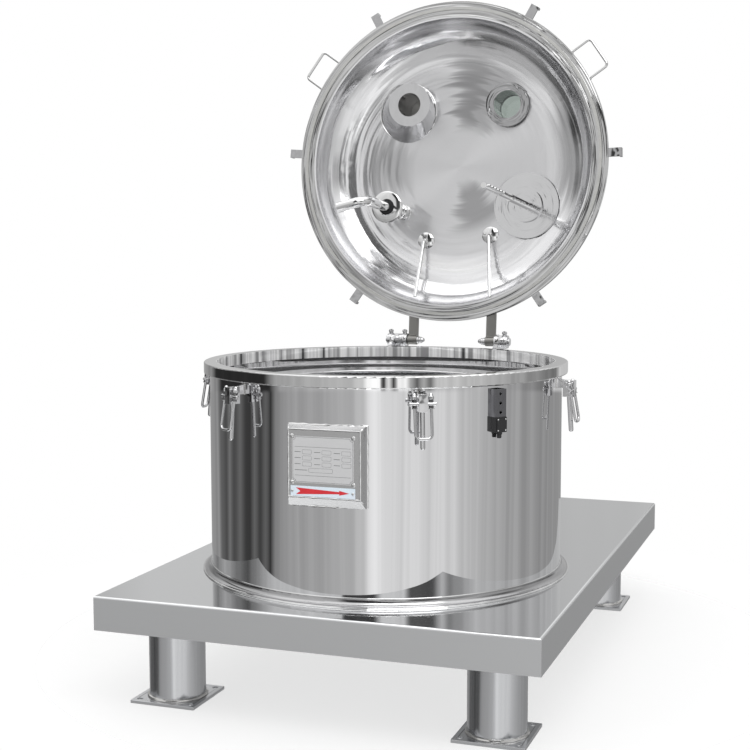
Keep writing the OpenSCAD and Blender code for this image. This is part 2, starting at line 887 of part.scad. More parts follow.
module sight_glass_body() {
    color(polished) at_lid() translate([sight_x, -sight_front, sight_z]) difference() {
        union() {
            translate([0, 0, -sight_below]) cylinder(r = sight_seat_r, h = sight_below + sight_above);
            for (z = [-sight_below, sight_above - flange_plate])
                translate([0, 0, z]) cylinder(d = sight_flange_d, h = flange_plate);
        }
        translate([0, 0, -sight_below - past]) cylinder(d = sight_bore, h = sight_below + sight_above + 2 * past);
    }
}

module sight_glass_pane() {
    color("lightblue") at_lid() translate([sight_x, -sight_front, sight_z + sight_above])
        cylinder(r = sight_seat_r, h = pane_t);
}

module sight_glass_ring() {
    cap_t = 14;
    color(steel) at_lid() translate([sight_x, -sight_front, sight_z + sight_above]) difference() {
        cylinder(d = sight_flange_d, h = pane_t + cap_t);
        translate([0, 0, -past]) cylinder(r = sight_seat_r, h = pane_t + past);
        cylinder(d = sight_bore, h = pane_t + cap_t + past);
    }
}

module feed_neck() {
    color(polished) at_lid() translate([feed_x, feed_back, feed_z])
        neck(feed_d + 2 * dish_t, feed_d / 2, feed_neck_length, neck_out)
            translate([0, 0, -feed_neck_length]) cylinder(d = feed_flange_d, h = flange_plate);
}

// The feed pipe hangs from its neck, then turns out towards the basket's wall
module feed_run(radius, extra) {
    straight = feed_neck_length + feed_drop;
    rotate([0, 0, feed_aim]) translate([0, 0, -straight]) {
        cylinder(r = radius, h = straight + neck_out + extra);
        translate([feed_bend, 0, 0]) rotate([90, 180, 0])
            rotate_extrude(angle = 90) translate([feed_bend, 0]) circle(r = radius);
        translate([feed_bend, 0, -feed_bend]) rotate([0, 90, 0]) cylinder(r = radius, h = feed_outlet + extra);
    }
}

module feed_pipe() {
    color(polished) at_lid() translate([feed_x, feed_back, feed_z]) difference() {
        feed_run(feed_d / 2, 0);
        feed_run(feed_d / 2 - feed_wall, past);
    }
}

module wash_neck() {
    pad_t = 4;
    sunk = dish_t + 3.5 * pad_t;
    color(polished) at_lid() translate([wash_x, wash_back, wash_z])
        neck(wash_d + 2 * dish_t, wash_d / 2, sunk + flange_plate + pad_t, neck_out) {
            translate([0, 0, -sunk - pad_t - flange_plate]) cylinder(d = wash_flange_d, h = flange_plate);
            difference() {
                translate([0, 0, -sunk - pad_t]) cylinder(d = wash_pad_d, h = pad_t);
                translate([-wash_x, -wash_back, crown_z - wash_z]) sphere_cut();
                translate([-wash_x, -wash_back, -wash_z]) knuckle_cut();
            }
        }
}

module wash_pipe() {
    wall = 2;
    cap = 6;
    nozzles = 6;
    nozzle_d = 10;
    nozzle_reach = 9;
    nozzle_step = 40;
    color(polished) at_lid() translate([wash_x, wash_back, wash_z]) difference() {
        union() {
            translate([0, 0, -wash_drop]) cylinder(d = wash_d, h = wash_drop + neck_out);
            translate([0, 0, -wash_drop - spray_length]) cylinder(d = spray_d, h = spray_length);
            for (i = [0 : nozzles - 1])
                translate([0, 0, -wash_drop - spray_length + nozzle_step / 2 + i * nozzle_step])
                    rotate([0, 90, 0]) cylinder(d = nozzle_d, h = spray_d / 2 + nozzle_reach);
        }
        translate([0, 0, -wash_drop + cap]) cylinder(d = wash_d - 2 * wall, h = wash_drop + neck_out);
    }
}

// Each rinse tube leaves the lid, then runs on a slope to the lid's hinge side
module rinse_tubes() {
    stand = 16;
    out = 60;
    bend = 16;
    slope = 20;
    tubes = [
        [-rinse_left_x, rinse_left_back, 91, 224],
        [rinse_right_x, rinse_right_back, 82, 248]
    ];
    color(polished) at_lid() for (tube = tubes)
        translate([tube[0], tube[1], dish_at(norm([tube[0], tube[1]]))]) rotate([0, 0, tube[2]]) {
            translate([0, 0, -dish_t - stand]) cylinder(d = rinse_d, h = dish_t + stand + out);
            translate([bend, 0, -dish_t - stand]) rotate([90, 180, 0]) {
                rotate_extrude(angle = 90 - slope) translate([bend, 0]) circle(d = rinse_d);
                rotate([0, 0, 90 - slope]) translate([bend, 0, 0]) rotate([-90, 0, 0])
                    cylinder(d = rinse_d, h = tube[3]);
            }
        }
}

// One latch is a lever on the casing's lug and a bail on the lever's cross bar
module lever(index) {
    slot = lug_width + side_play;
    slot_r = lug_eye_r + 2 * side_play;
    slot_outer = slot_r + 6 * side_play;
    color(steel) at_angle(latch_angles[index - 1]) translate([0, -pivot_r, pivot_z]) {
        difference() {
            translate([-head_width / 2, -head_outer, head_above - head_length])
                cube([head_width, head_outer + head_inner, head_length]);
            bar_x(slot_r, slot);
            translate([-slot / 2, 0, -slot_r]) cube([slot, head_length, head_length]);
            translate([-slot / 2, -slot_outer, 0]) cube([slot, head_length, head_length]);
            translate([0, -bar_out, -bar_drop]) bar_x(bar_d / 2 + running, head_width + 2 * past);
        }
        bar_x(latch_pin_d / 2, head_width);
        translate([0, -head_outer / 4, head_above - head_length + past]) rotate([180 - lever_lean, 0, 0]) {
            cylinder(d = lever_rod, h = lever_length - lever_rod / 2);
            translate([0, 0, lever_length - lever_rod / 2]) sphere(d = lever_rod, $fn = 32);
        }
    }
}

module bail(index) {
    nut_d = 15;
    nut_t = 8;
    nut_seat = bar_d / 2 - past;
    bend = 15;
    color(polished) at_angle(latch_angles[index - 1]) translate([0, -bar_r, bar_z])
        rotate([180 - bail_lean, 0, 0]) {
            bar_x(bar_d / 2, bar_length);
            u_rod(bail_span, bail_length, bail_rod / 2, bend);
            for (side = [-1, 1]) translate([side * bail_span / 2, 0, 0]) {
                translate([0, 0, -bail_end]) cylinder(d = bail_rod, h = bail_end);
                for (z = [-nut_seat - nut_t, nut_seat])
                    translate([0, 0, z]) cylinder(d = nut_d, h = nut_t, $fn = 6);
            }
        }
}

base_tray();
base_underside();
legs();
foot_plates();
drum_casing();
casing_floor();
drum_rim();
drum_foot_ring();
bearing_housing();
latch_lugs();
hinge_brackets();
hinge_pins();
plate_box();
switch_bracket();
lid_switch();
motor_cover();
drain_pipe();
basket_wall();
basket_hoops();
basket_lip();
basket_floor();
basket_hub();
spindle();
lid_dish();
lid_flange();
lid_gasket();
lid_hooks();
lid_handles();
hinge_arms();
loading_port();
sight_glass_body();
sight_glass_ring();
sight_glass_pane();
feed_neck();
feed_pipe();
wash_neck();
wash_pipe();
rinse_tubes();
lever(1);  // lever_1
lever(2);  // lever_2
lever(3);  // lever_3
lever(4);  // lever_4
lever(5);  // lever_5
lever(6);  // lever_6
bail(1);  // bail_1
bail(2);  // bail_2
bail(3);  // bail_3
bail(4);  // bail_4
bail(5);  // bail_5
bail(6);  // bail_6
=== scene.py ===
import math

import bmesh
import bpy
from mathutils import Matrix, Vector


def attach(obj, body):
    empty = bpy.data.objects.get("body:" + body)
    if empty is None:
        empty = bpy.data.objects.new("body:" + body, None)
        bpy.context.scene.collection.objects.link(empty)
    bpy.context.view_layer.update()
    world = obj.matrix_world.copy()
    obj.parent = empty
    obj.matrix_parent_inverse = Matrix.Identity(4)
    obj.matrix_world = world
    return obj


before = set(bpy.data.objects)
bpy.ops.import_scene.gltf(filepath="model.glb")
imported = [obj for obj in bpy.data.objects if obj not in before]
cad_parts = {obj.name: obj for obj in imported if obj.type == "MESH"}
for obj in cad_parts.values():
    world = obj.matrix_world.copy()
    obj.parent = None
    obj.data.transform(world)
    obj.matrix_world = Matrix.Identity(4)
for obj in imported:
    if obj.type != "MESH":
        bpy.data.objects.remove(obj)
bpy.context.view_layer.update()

# The camera stands 4.7 m from the machine at eye height, to the right of its front,
# with a long lens that looks slightly down.
camera = bpy.data.objects.new("camera", bpy.data.cameras.new("camera"))
bpy.context.scene.collection.objects.link(camera)
bpy.context.scene.camera = camera
camera.data.sensor_width = 36
camera.data.lens = 66.5
camera.matrix_world = (
    Matrix.Translation((1.512, -4.658, 1.435))
    @ Matrix.Rotation(math.radians(19.7), 4, "Z")
    @ Matrix.Rotation(math.radians(84.5), 4, "X")
    @ Matrix.Rotation(math.radians(-0.1), 4, "Z")
)


# The base is one tray folded from 6 mm stainless sheet and welded shut at its corners.
# Its top is buffed bright, which mirrors the drum, and its sides are ground along their
# length to a satin grain, which blurs the room into an even grey.
def linear(colour):
    """An sRGB hex colour as the linear one that a socket takes."""
    channels = [int(colour[i : i + 2], 16) / 255 for i in (1, 3, 5)]
    return [c / 12.92 if c <= 0.04045 else ((c + 0.055) / 1.055) ** 2.4 for c in channels] + [1]


def add(tree, kind, settings=None):
    """Adds a node with its settings, links those that are sockets, and returns its outputs."""
    node = tree.nodes.new("ShaderNode" + kind)
    for key, value in (settings or {}).items():
        if key == "stops":
            stops = node.color_ramp.elements
            while len(stops) < len(value):
                stops.new(0.5)
            for stop, (place, colour) in zip(stops, value):
                stop.position, stop.color = place, colour
        elif isinstance(value, bpy.types.NodeSocket):
            tree.links.new(value, node.inputs[key])
        elif isinstance(key, int) or key in node.inputs:
            node.inputs[key].default_value = value
        else:
            setattr(node, key, value)
    return node.outputs


def object_place(tree):
    """The place of a point on the object, in metres."""
    return add(tree, "TexCoord")["Object"]


def noise(tree, place, scale, detail, along="Vector"):
    """Noise at a place, or at a distance along W."""
    dimensions = "1D" if along == "W" else "3D"
    settings = {"noise_dimensions": dimensions, "Scale": scale, "Detail": detail, along: place}
    return add(tree, "TexNoise", settings)["Fac"]


def scaled(tree, value, low, high, start=0.0, end=1.0, **settings):
    """Maps a value that goes from start to end so that it goes from low to high."""
    span = {"From Min": start, "From Max": end, "To Min": low, "To Max": high}
    return add(tree, "MapRange", {**span, **settings, "Value": value})["Result"]


def bumped(tree, strength, distance, height, **normal):
    """The normal of a surface that a height raises."""
    settings = {"Strength": strength, "Distance": distance, "Height": height, **normal}
    return add(tree, "Bump", settings)["Normal"]


def surface(tree, settings):
    """Makes a principled shader the material's surface."""
    add(tree, "OutputMaterial", {"Surface": add(tree, "BsdfPrincipled", settings)[0]})


def material(name):
    """A new material with an empty node tree."""
    finish = bpy.data.materials.new(name)
    finish.use_nodes = True
    finish.node_tree.nodes.clear()
    return finish, finish.node_tree


def dress(finish, names, bevel=0.0):
    """Gives CAD nodes a finish, smooth curves, crisp faces and edges broken by a bevel in mm."""
    for name in names.split():
        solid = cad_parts[name]
        solid.data.materials.clear()
        solid.data.materials.append(finish)
        if "custom_normal" in solid.data.attributes:
            solid.data.attributes.remove(solid.data.attributes["custom_normal"])
        solid.data.polygons.foreach_set("use_smooth", [True] * len(solid.data.polygons))
        weld = solid.modifiers.new("weld", "WELD")
        weld.merge_threshold = 0.00002
        if bevel:
            edge = solid.modifiers.new("broken edges", "BEVEL")
            edge.width = bevel / 1000
            edge.segments = 2
            edge.limit_method = "ANGLE"
            edge.angle_limit = math.radians(35)
        else:
            split = solid.modifiers.new("edges", "EDGE_SPLIT")
            split.split_angle = math.radians(28)
        solid.modifiers.new("flat faces", "WEIGHTED_NORMAL").keep_sharp = True


deck_steel, tree = material("stainless sheet, buffed top and satin sides")
place = object_place(tree)
across = add(tree, "SeparateXYZ", {0: add(tree, "NewGeometry")["Normal"]})
is_top = scaled(tree, across["Z"], 0.0, 1.0, 0.8, 0.95)
# Real grit lines are 0.1 mm apart; these are 2.5 mm apart, so that they show.
grain_place = add(tree, "Mapping", {"Scale": (12, 12, 400), "Vector": place})["Vector"]
grain = noise(tree, grain_place, 1.0, 4.0)
satin = scaled(tree, grain, 0.26, 0.36)
bright = scaled(tree, noise(tree, place, 5.0, 3.0), 0.05, 0.11)
rough = add(tree, "Mix", {0: is_top, 2: satin, 3: bright})["Result"]
bump = bumped(tree, scaled(tree, is_top, 0.25, 0.0), 0.0002, grain)
surface(tree, {"Base Color": linear("#DEDFE0"), "Metallic": 1.0, "Roughness": rough, "Normal": bump})
dress(deck_steel, "base_tray base_underside")

# Each leg is a length of stainless tube, polished with a fine belt, and its foot plate is
# cut from 10 mm plate. Both are welded all round, with a bead that is left as laid.
belt_steel, tree = material("stainless steel polished with a fine belt")
# Real belt lines are 0.1 mm apart; these are 3 mm apart, so that they show.
grain_place = add(tree, "Mapping", {"Scale": (330, 330, 14), "Vector": object_place(tree)})["Vector"]
grain = noise(tree, grain_place, 1.0, 3.0)
rough = scaled(tree, grain, 0.14, 0.24)
bump = bumped(tree, 0.12, 0.0002, grain)
surface(tree, {"Base Color": linear("#CDCED0"), "Metallic": 1.0, "Roughness": rough, "Normal": bump})
dress(belt_steel, "legs")
dress(belt_steel, "foot_plates", bevel=1.0)

weld_steel, tree = material("weld metal, brushed clean")
scales = noise(tree, object_place(tree), 260.0, 2.0)
rough = scaled(tree, scales, 0.16, 0.32)
bump = bumped(tree, 0.5, 0.0006, scales)
surface(tree, {"Base Color": linear("#D4D3D1"), "Metallic": 1.0, "Roughness": rough, "Normal": bump})


def bead(bm, path, radius, closed=True, up=Vector((0, 0, 1)), ripple=0.16):
    """Sweeps a rippled weld bead or a plain rod along a path."""
    sides = 8
    rings = []
    for i, point in enumerate(path):
        before = path[i - 1] if closed or i else point
        after = path[(i + 1) % len(path)] if closed or i < len(path) - 1 else point
        along = (after - before).normalized()
        side = along.cross(up).normalized()
        over = side.cross(along)
        swell = radius * (1 + ripple * math.sin(0.55 * i) * math.cos(0.17 * i))
        rings.append(
            [
                bm.verts.new(point + swell * (side * math.cos(a) + over * math.sin(a)))
                for a in (2 * math.pi * n / sides for n in range(sides))
            ]
        )
    pairs = list(zip(rings, rings[1:])) + ([(rings[-1], rings[0])] if closed else [])
    for a, b in pairs:
        for n in range(sides):
            m = (n + 1) % sides
            bm.faces.new((a[n], a[m], b[m], b[n]))
    if not closed:
        bm.faces.new(rings[0])
        bm.faces.new(rings[-1])


def circle(place, radius, step=0.004):
    """Points round the Z of a frame, about a step apart."""
    count = max(12, round(2 * math.pi * radius / step))
    return [
        place @ Vector((radius * math.cos(a), radius * math.sin(a), 0))
        for a in (2 * math.pi * n / count for n in range(count))
    ]


def made(name, body, finish, bm):
    """Turns a bmesh into a piece that rides on a body, shaded smooth with crisp edges."""
    bmesh.ops.remove_doubles(bm, verts=bm.verts, dist=0.00001)
    bmesh.ops.recalc_face_normals(bm, faces=bm.faces)
    mesh = bpy.data.meshes.new(name)
    bm.to_mesh(mesh)
    bm.free()
    mesh.polygons.foreach_set("use_smooth", [True] * len(mesh.polygons))
    mesh.materials.append(finish)
    piece = bpy.data.objects.new(name, mesh)
    bpy.context.scene.collection.objects.link(piece)
    piece.modifiers.new("edges", "EDGE_SPLIT").split_angle = math.radians(32)
    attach(piece, body)
    return piece


leg_r = 0.0885
foot_plate_top, tray_bottom = 0.012, 0.250
bm = bmesh.new()
for x in (-0.5215, 0.5215):
    for y in (-0.838, 0.745):
        for z in (foot_plate_top, tray_bottom):
            bead(bm, circle(Matrix.Translation((x, y, z)), leg_r + 0.002), 0.005)
made("leg_welds", "base", weld_steel, bm)

# The drum casing is a rolled and welded shell with a heavy flat rim and a coved foot ring,
# all ground and buffed to a mirror that shows the room in sharp upright bands. Inside, the
# casing is only roughly levelled, so that it mirrors in waves.
drum = Matrix.Translation((0, -0.329, 0))
deck_z = 0.360
casing_r = 0.581


def number(tree, operation, *terms):
    """Maths on numbers, which are constants or sockets."""
    return add(tree, "Math", {"operation": operation, **dict(enumerate(terms))})[0]


def vector(tree, operation, *terms):
    """Maths on vectors, which gives a vector, or a number where the operation does."""
    keys = (0, "Scale") if operation == "SCALE" else range(len(terms))
    result = add(tree, "VectorMath", {"operation": operation, **dict(zip(keys, terms))})
    return result["Value"] if operation in ("LENGTH", "DOT_PRODUCT") else result[0]


def lathe_normal(tree, middle, axis, shading, grooves=0.0, groove_scale=60.0, arcs=0.6, calm=0.001):
    """The normal of a face turned about an axis, true to its circle, tilted by shallow grooves."""
    out = vector(tree, "SUBTRACT", object_place(tree), middle)
    flat = vector(tree, "SUBTRACT", out, vector(tree, "PROJECT", out, axis))
    radius = vector(tree, "LENGTH", flat)
    radial = vector(tree, "NORMALIZE", flat)
    to_object = {"vector_type": "NORMAL", "convert_from": "WORLD", "convert_to": "OBJECT"}
    facet = add(tree, "VectorTransform", {**to_object, 0: add(tree, "NewGeometry")[shading]})[0]
    lean = vector(tree, "DOT_PRODUCT", facet, radial)
    rise = vector(tree, "PROJECT", facet, axis)
    # The grooves are arcs: long round the axis, and short across it
    around = vector(tree, "SCALE", radial, arcs)
    spot = vector(tree, "ADD", around, number(tree, "MULTIPLY", radius, groove_scale))
    tilt = scaled(tree, noise(tree, spot, 1.0, 2.0), -grooves, grooves, 0.25, 0.75, clamp=False)
    # They fade towards the middle, where the tool turned slowly
    depth = scaled(tree, radius, 0.12, 1.0, calm, 2.2 * calm)
    outward = vector(tree, "SCALE", radial, number(tree, "MULTIPLY_ADD", tilt, depth, lean))
    to_world = {"vector_type": "NORMAL", "convert_from": "OBJECT", "convert_to": "WORLD"}
    whole = add(tree, "VectorTransform", {**to_world, 0: vector(tree, "ADD", outward, rise)})[0]
    return vector(tree, "NORMALIZE", whole)


def polished(name, colour, wave, wave_scale, smooth=(0.02, 0.05), lathe=None):
    """Buffed stainless steel whose surface rolls by a wave, with wiping haze."""
    finish, tree = material(name)
    place = object_place(tree)
    base = {"Normal": lathe_normal(tree, **lathe)} if lathe else {}
    bump = bumped(tree, wave, 0.002, noise(tree, place, wave_scale, 1.0), **base)
    rough = scaled(tree, noise(tree, place, 16.0, 3.0), *smooth)
    surface(tree, {"Base Color": linear(colour), "Metallic": 1.0, "Roughness": rough, "Normal": bump})
    return finish


def from_drum(tree):
    """The level way from the drum's axis to a point."""
    out = vector(tree, "SUBTRACT", object_place(tree), drum.translation)
    return vector(tree, "MULTIPLY", out, (1, 1, 0))


def inputs_of(finish, kind):
    """The inputs of the one node of a kind in a finish."""
    return next(node for node in finish.node_tree.nodes if node.type == kind).inputs


def mixed(tree, share, first, second):
    """Goes from one colour to another by a share."""
    return add(tree, "Mix", {"data_type": "RGBA", 0: share, 6: first, 7: second})[2]


mirror_steel = polished("stainless steel buffed to a mirror", "#D9D9DA", 0.1, 3.0, (0.008, 0.025))
tree = mirror_steel.node_tree
reach = vector(tree, "LENGTH", from_drum(tree))
inside = scaled(tree, reach, 0.0, 1.0, casing_r - 0.002, casing_r - 0.004)
roll = scaled(tree, inside, 0.1, 2.2, clamp=False)
tree.links.new(roll, inputs_of(mirror_steel, "BUMP")["Strength"])
# The rough-levelled inside scatters some light, which keeps its depth from going black
tree.links.new(scaled(tree, inside, 1.0, 0.88), inputs_of(mirror_steel, "BSDF_PRINCIPLED")["Metallic"])
dress(mirror_steel, "drum_casing")

drum_axis = {"middle": drum.translation, "axis": (0, 0, 1)}
rim_grey = "#DDDDDD"
rim_lathe = dict(drum_axis, shading="True Normal")
rim_steel = polished("stainless ring, turned and buffed", rim_grey, 0.04, 5.0, (0.005, 0.015), rim_lathe)
# Its inner face is ground by hand in upright strokes, which mirror the room in bars; here the bars are
# painted reflection, greys from dark to white painted into its colour on a face made mostly non-metallic
tree = rim_steel.node_tree
level_way = from_drum(tree)
mouth_r = 0.557
inner_face = scaled(tree, vector(tree, "LENGTH", level_way), 0.0, 1.0, mouth_r + 0.003, mouth_r + 0.001)
reflection_bar_greys = ((0.32, "#4A4A4B"), (0.39, "#C8C8C9"), (0.50, "#FFFFFF"), (0.62, "#9C9C9D"))
stops = [(level, linear(grey)) for level, grey in reflection_bar_greys]
painted_reflection_bars = add(tree, "ValToRGB", {"stops": stops, 0: noise(tree, level_way, 24.0, 3.0)})[0]
tone = mixed(tree, inner_face, linear(rim_grey), painted_reflection_bars)
rim_shader = inputs_of(rim_steel, "BSDF_PRINCIPLED")
tree.links.new(tone, rim_shader["Base Color"])
tree.links.new(scaled(tree, inner_face, 1.0, 0.2), rim_shader["Metallic"])
dress(rim_steel, "drum_rim")
foot_lathe = dict(drum_axis, shading="Normal")
foot_steel = polished("stainless cove, buffed", "#A9A9AA", 0.1, 6.0, (0.10, 0.18), foot_lathe)
dress(foot_steel, "drum_foot_ring")
bright_steel = polished("stainless steel buffed by hand", "#DCDCDC", 0.4, 9.0)

foot_ring_r, foot_ring_top = 0.607, 0.025
bm = bmesh.new()
outer_joint = circle(drum @ Matrix.Translation((0, 0, deck_z + 0.002)), foot_ring_r, 0.007)
bead(bm, outer_joint, 0.0028, ripple=0.12)
inner_joint = circle(drum @ Matrix.Translation((0, 0, deck_z + foot_ring_top)), casing_r + 0.001, 0.007)
bead(bm, inner_joint, 0.0015, ripple=0.1)
made("drum_welds", "base", bright_steel, bm)
dress(belt_steel, "casing_floor bearing_housing")

# The plate box is folded from sheet, welded along its edges and to the casing, and polished
# over its welds, so that each edge is a wavy bright line. It carries an engraved data plate
# with blank fields and an enamelled plate whose arrow shows which way the basket turns.
plate_steel = polished("stainless sheet, satin", "#D0D0D0", 0.1, 4.0, (0.2, 0.28))
dress(plate_steel, "plate_box")

face_y = -0.930


def on_casing(x, z):
    """A point on the casing's outer face."""
    return Vector((x, drum.translation.y - math.sqrt(casing_r**2 - x * x), z))


def rectangle(left, right, low, high):
    """The corners of a rectangle, anticlockwise from the lower left."""
    return [(left, low), (right, low), (right, high), (left, high)]


def between(a, b, count):
    """Points from one place to another."""
    return [a.lerp(b, n / count) for n in range(count + 1)]


def polyline(corners, step=0.004):
    """Points a step apart along lines from corner to corner, round to the first one."""
    points = []
    for a, b in zip(corners, corners[1:] + corners[:1]):
        points += between(a, b, max(1, round((b - a).length / step)))[:-1]
    return points


face = [Vector((x, face_y, z)) for x, z in rectangle(-0.095, 0.131, 0.685, 0.887)]
outer_corners = rectangle(-0.105, 0.141, 0.656, 0.899)
outward = Vector((0, -1, 0))
edge_steel = polished("weld metal, ground bright", "#F2F2F2", 0.3, 30.0, (0.16, 0.28))
bm = bmesh.new()
bead(bm, polyline(face), 0.0026, up=outward, ripple=0.3)
seam = []
for (x0, z0), (x1, z1) in zip(outer_corners, outer_corners[1:] + outer_corners[:1]):
    seam += [on_casing(x0 + (x1 - x0) * n / 60, z0 + (z1 - z0) * n / 60) for n in range(60)]
bead(bm, seam, 0.003, up=outward, ripple=0.4)
for corner, (x, z) in zip(face, outer_corners):
    bead(bm, between(corner, on_casing(x, z), 8), 0.0024, closed=False, up=Vector((1, 0, 0)), ripple=0.3)
made("plate_box_welds", "base", edge_steel, bm)


def turned(bm, place, profile, steps=24):
    """Turns a profile of radius and height in metres round the Z of a frame."""
    rings = []
    for radius, height in profile:
        if radius == 0:
            rings.append([bm.verts.new(place @ Vector((0, 0, height)))])
            continue
        rings.append(
            [
                bm.verts.new(place @ Vector((radius * math.cos(a), radius * math.sin(a), height)))
                for a in (2 * math.pi * n / steps for n in range(steps))
            ]
        )
    for a, b in zip(rings, rings[1:]):
        for n in range(steps):
            m = (n + 1) % steps
            corners = [a[n], a[m]] if len(a) > 1 else a[:]
            bm.faces.new(corners + ([b[m], b[n]] if len(b) > 1 else b))


def outline(bm, points, bottom, top, place):
    """Extrudes an outline in the XY of a frame from one height to another."""
    low, high = ([bm.verts.new(place @ Vector((x, y, z))) for x, y in points] for z in (bottom, top))
    bm.faces.new(low)
    bm.faces.new(high)
    for n in range(len(points)):
        m = (n + 1) % len(points)
        bm.faces.new((low[n], low[m], high[m], high[n]))


def dome(radius, height, flat=0.3):
    """The profile of a low round head: a short side and a crown."""
    side = height * flat
    crown = [
        (radius * math.cos(a), side + (height - side) * math.sin(a))
        for a in (math.pi / 2 * n / 6 for n in range(6))
    ]
    return [(0, 0), (radius, 0)] + crown + [(0, height)]


# X to the right and Y up on the box's face, Z out of it
face_frame = Matrix.Translation((0, face_y, 0)) @ Matrix.Rotation(math.radians(90), 4, "X")
left, right, low, high = -0.083, 0.111, 0.7285, 0.8665
notch = 0.009


def notched(grow):
    """The data plate's outline: a rectangle with a quarter circle out of each corner."""
    points = []
    for cx, cy, start in ((left, low, 90), (right, low, 180), (right, high, 270), (left, high, 0)):
        sx, sy = (-1 if cx == left else 1), (-1 if cy == low else 1)
        for n in range(7):
            a = math.radians(start - 15 * n)
            points.append((cx + sx * grow + notch * math.cos(a), cy + sy * grow + notch * math.sin(a)))
    return points


bm = bmesh.new()
outline(bm, notched(0.0), 0.0, 0.0012, face_frame)
data_steel = polished("stainless plate, blasted matt", "#E2E2E3", 0.1, 60.0, (0.35, 0.45))
# Blasting leaves a grain that scatters part of the light
inputs_of(data_steel, "BSDF_PRINCIPLED")["Metallic"].default_value = 0.66
made("data_plate", "base", data_steel, bm)

etched, tree = material("etched and inked steel")
rough = scaled(tree, noise(tree, object_place(tree), 500.0, 2.0), 0.45, 0.65)
surface(tree, {"Base Color": linear("#5C5E5F"), "Metallic": 0.4, "Roughness": rough})

bm = bmesh.new()
plate_top = 0.0013


def stroke(bm, points, width, height, closed=True):
    """A flat printed line along points on the box's face."""
    count = len(points)
    for n in range(count if closed else count - 1):
        a, b = Vector(points[n]), Vector(points[(n + 1) % count])
        if (b - a).length < 0.0001:
            continue
        along = (b - a).normalized() * width / 2
        side = Vector((-along.y, along.x))
        corners = [a - along - side, b + along - side, b + along + side, a - along + side]
        bm.faces.new([bm.verts.new(face_frame @ Vector((c.x, c.y, height))) for c in corners])


def rounded(x0, y0, x1, y1, r=0.003):
    """A rectangle with rounded corners."""
    points = []
    corners = ((x1 - r, y1 - r, 0), (x0 + r, y1 - r, 90), (x0 + r, y0 + r, 180), (x1 - r, y0 + r, 270))
    for cx, cy, start in corners:
        for n in range(4):
            a = math.radians(start + 30 * n)
            points.append((cx + r * math.cos(a), cy + r * math.sin(a)))
    return points


stroke(bm, notched(-0.0025), 0.0008, plate_top)
for y in (0.814, 0.796, 0.778):
    for x in (-0.050, 0.012, 0.074):
        stroke(bm, rounded(x, y, x + 0.029, y + 0.0125), 0.0006, plate_top)
        stroke(bm, [(x - 0.024, y + 0.006), (x - 0.006, y + 0.006)], 0.0014, plate_top, closed=False)
stroke(bm, rounded(-0.030, 0.760, 0.045, 0.7725), 0.0006, plate_top)
stroke(bm, [(-0.074, 0.766), (-0.036, 0.766)], 0.0014, plate_top, closed=False)
for y in (0.835, 0.750):
    stroke(bm, [(-0.074, y), (0.102, y)], 0.0008, plate_top, closed=False)
made("data_plate_lines", "base", etched, bm)


def enamel(name, scale, colours, roughness):
    """Fired enamel whose colour flows a little."""
    finish, tree = material(name)
    flow = noise(tree, object_place(tree), scale, 2.0)
    tint = mixed(tree, flow, *(linear(colour) for colour in colours))
    surface(tree, {"Roughness": roughness, "IOR": 1.5, "Base Color": tint})
    return finish


enamel_white = enamel("enamelled sheet, pale blue", 30.0, ("#CFE3EC", "#DADDE8"), 0.25)
bm = bmesh.new()
outline(bm, rectangle(-0.088, 0.1155, 0.688, 0.7185), 0.0, 0.0012, face_frame)
made("arrow_plate", "base", enamel_white, bm)

enamel_red = enamel("enamel, red", 40.0, ("#C4202A", "#D62F38"), 0.3)
arrow = [
    (-0.071, 0.7130), (0.066, 0.7065), (0.066, 0.7105), (0.097, 0.7033),
    (0.066, 0.6962), (0.066, 0.7001), (-0.071, 0.6930), (-0.057, 0.7030),
]
bm = bmesh.new()
outline(bm, arrow, 0.0010, 0.0016, face_frame)
made("arrow", "base", enamel_red, bm)

bm = bmesh.new()
for x, y in rectangle(left, right, low, high):
    turned(bm, face_frame @ Matrix.Translation((x, y, 0)), dome(0.0065, 0.0042))
for x in (-0.0825, 0.1085):
    turned(bm, face_frame @ Matrix.Translation((x, 0.7030, 0.001)), dome(0.0042, 0.0028))
made("plate_screws", "base", bright_steel, bm)

# The lid switch is a moulded black plastic block with a screwed cover and a cable gland. A
# folded steel channel carries it, so that a closed lid can be sensed at the rim.
# Its dark grey is painted reflection: the steel is coloured darker than steel is, for the dark room that it
# mirrors
channel_steel = polished("stainless channel, satin, painted dark reflection", "#77777A", 0.6, 18.0, (0.06, 0.16))
dress(channel_steel, "switch_bracket", bevel=0.6)
black_plastic, tree = material("ABS, moulded black with a fine texture")
bump = bumped(tree, 0.2, 0.0002, noise(tree, object_place(tree), 900.0, 2.0))
surface(tree, {"Base Color": linear("#1B1B1D"), "Roughness": 0.42, "IOR": 1.53, "Normal": bump})
dress(black_plastic, "lid_switch", bevel=1.5)
# Z out of the drum, X to the right and Y up
switch_frame = (
    drum
    @ Matrix.Rotation(math.radians(54), 4, "Z")
    @ Matrix.Translation((0, -0.604, 0.892))
    @ Matrix.Rotation(math.radians(90), 4, "X")
)
bm = bmesh.new()
outline(bm, rounded(-0.0185, -0.0205, 0.0185, 0.0205, 0.004), 0.0, 0.0025, switch_frame)
turned(
    bm,
    switch_frame @ Matrix.Translation((0, -0.023, -0.011)) @ Matrix.Rotation(math.radians(90), 4, "X"),
    [(0, 0), (0.009, 0), (0.009, 0.006), (0.007, 0.007), (0.007, 0.016), (0.0055, 0.018), (0, 0.018)],
    steps=18,
)
made("switch_cover", "base", black_plastic, bm)
bm = bmesh.new()
for x in (-0.0145, 0.0145):
    for y in (-0.0165, 0.0165):
        turned(bm, switch_frame @ Matrix.Translation((x, y, 0.0025)), dome(0.0026, 0.0016), steps=14)
made("switch_screws", "base", bright_steel, bm)

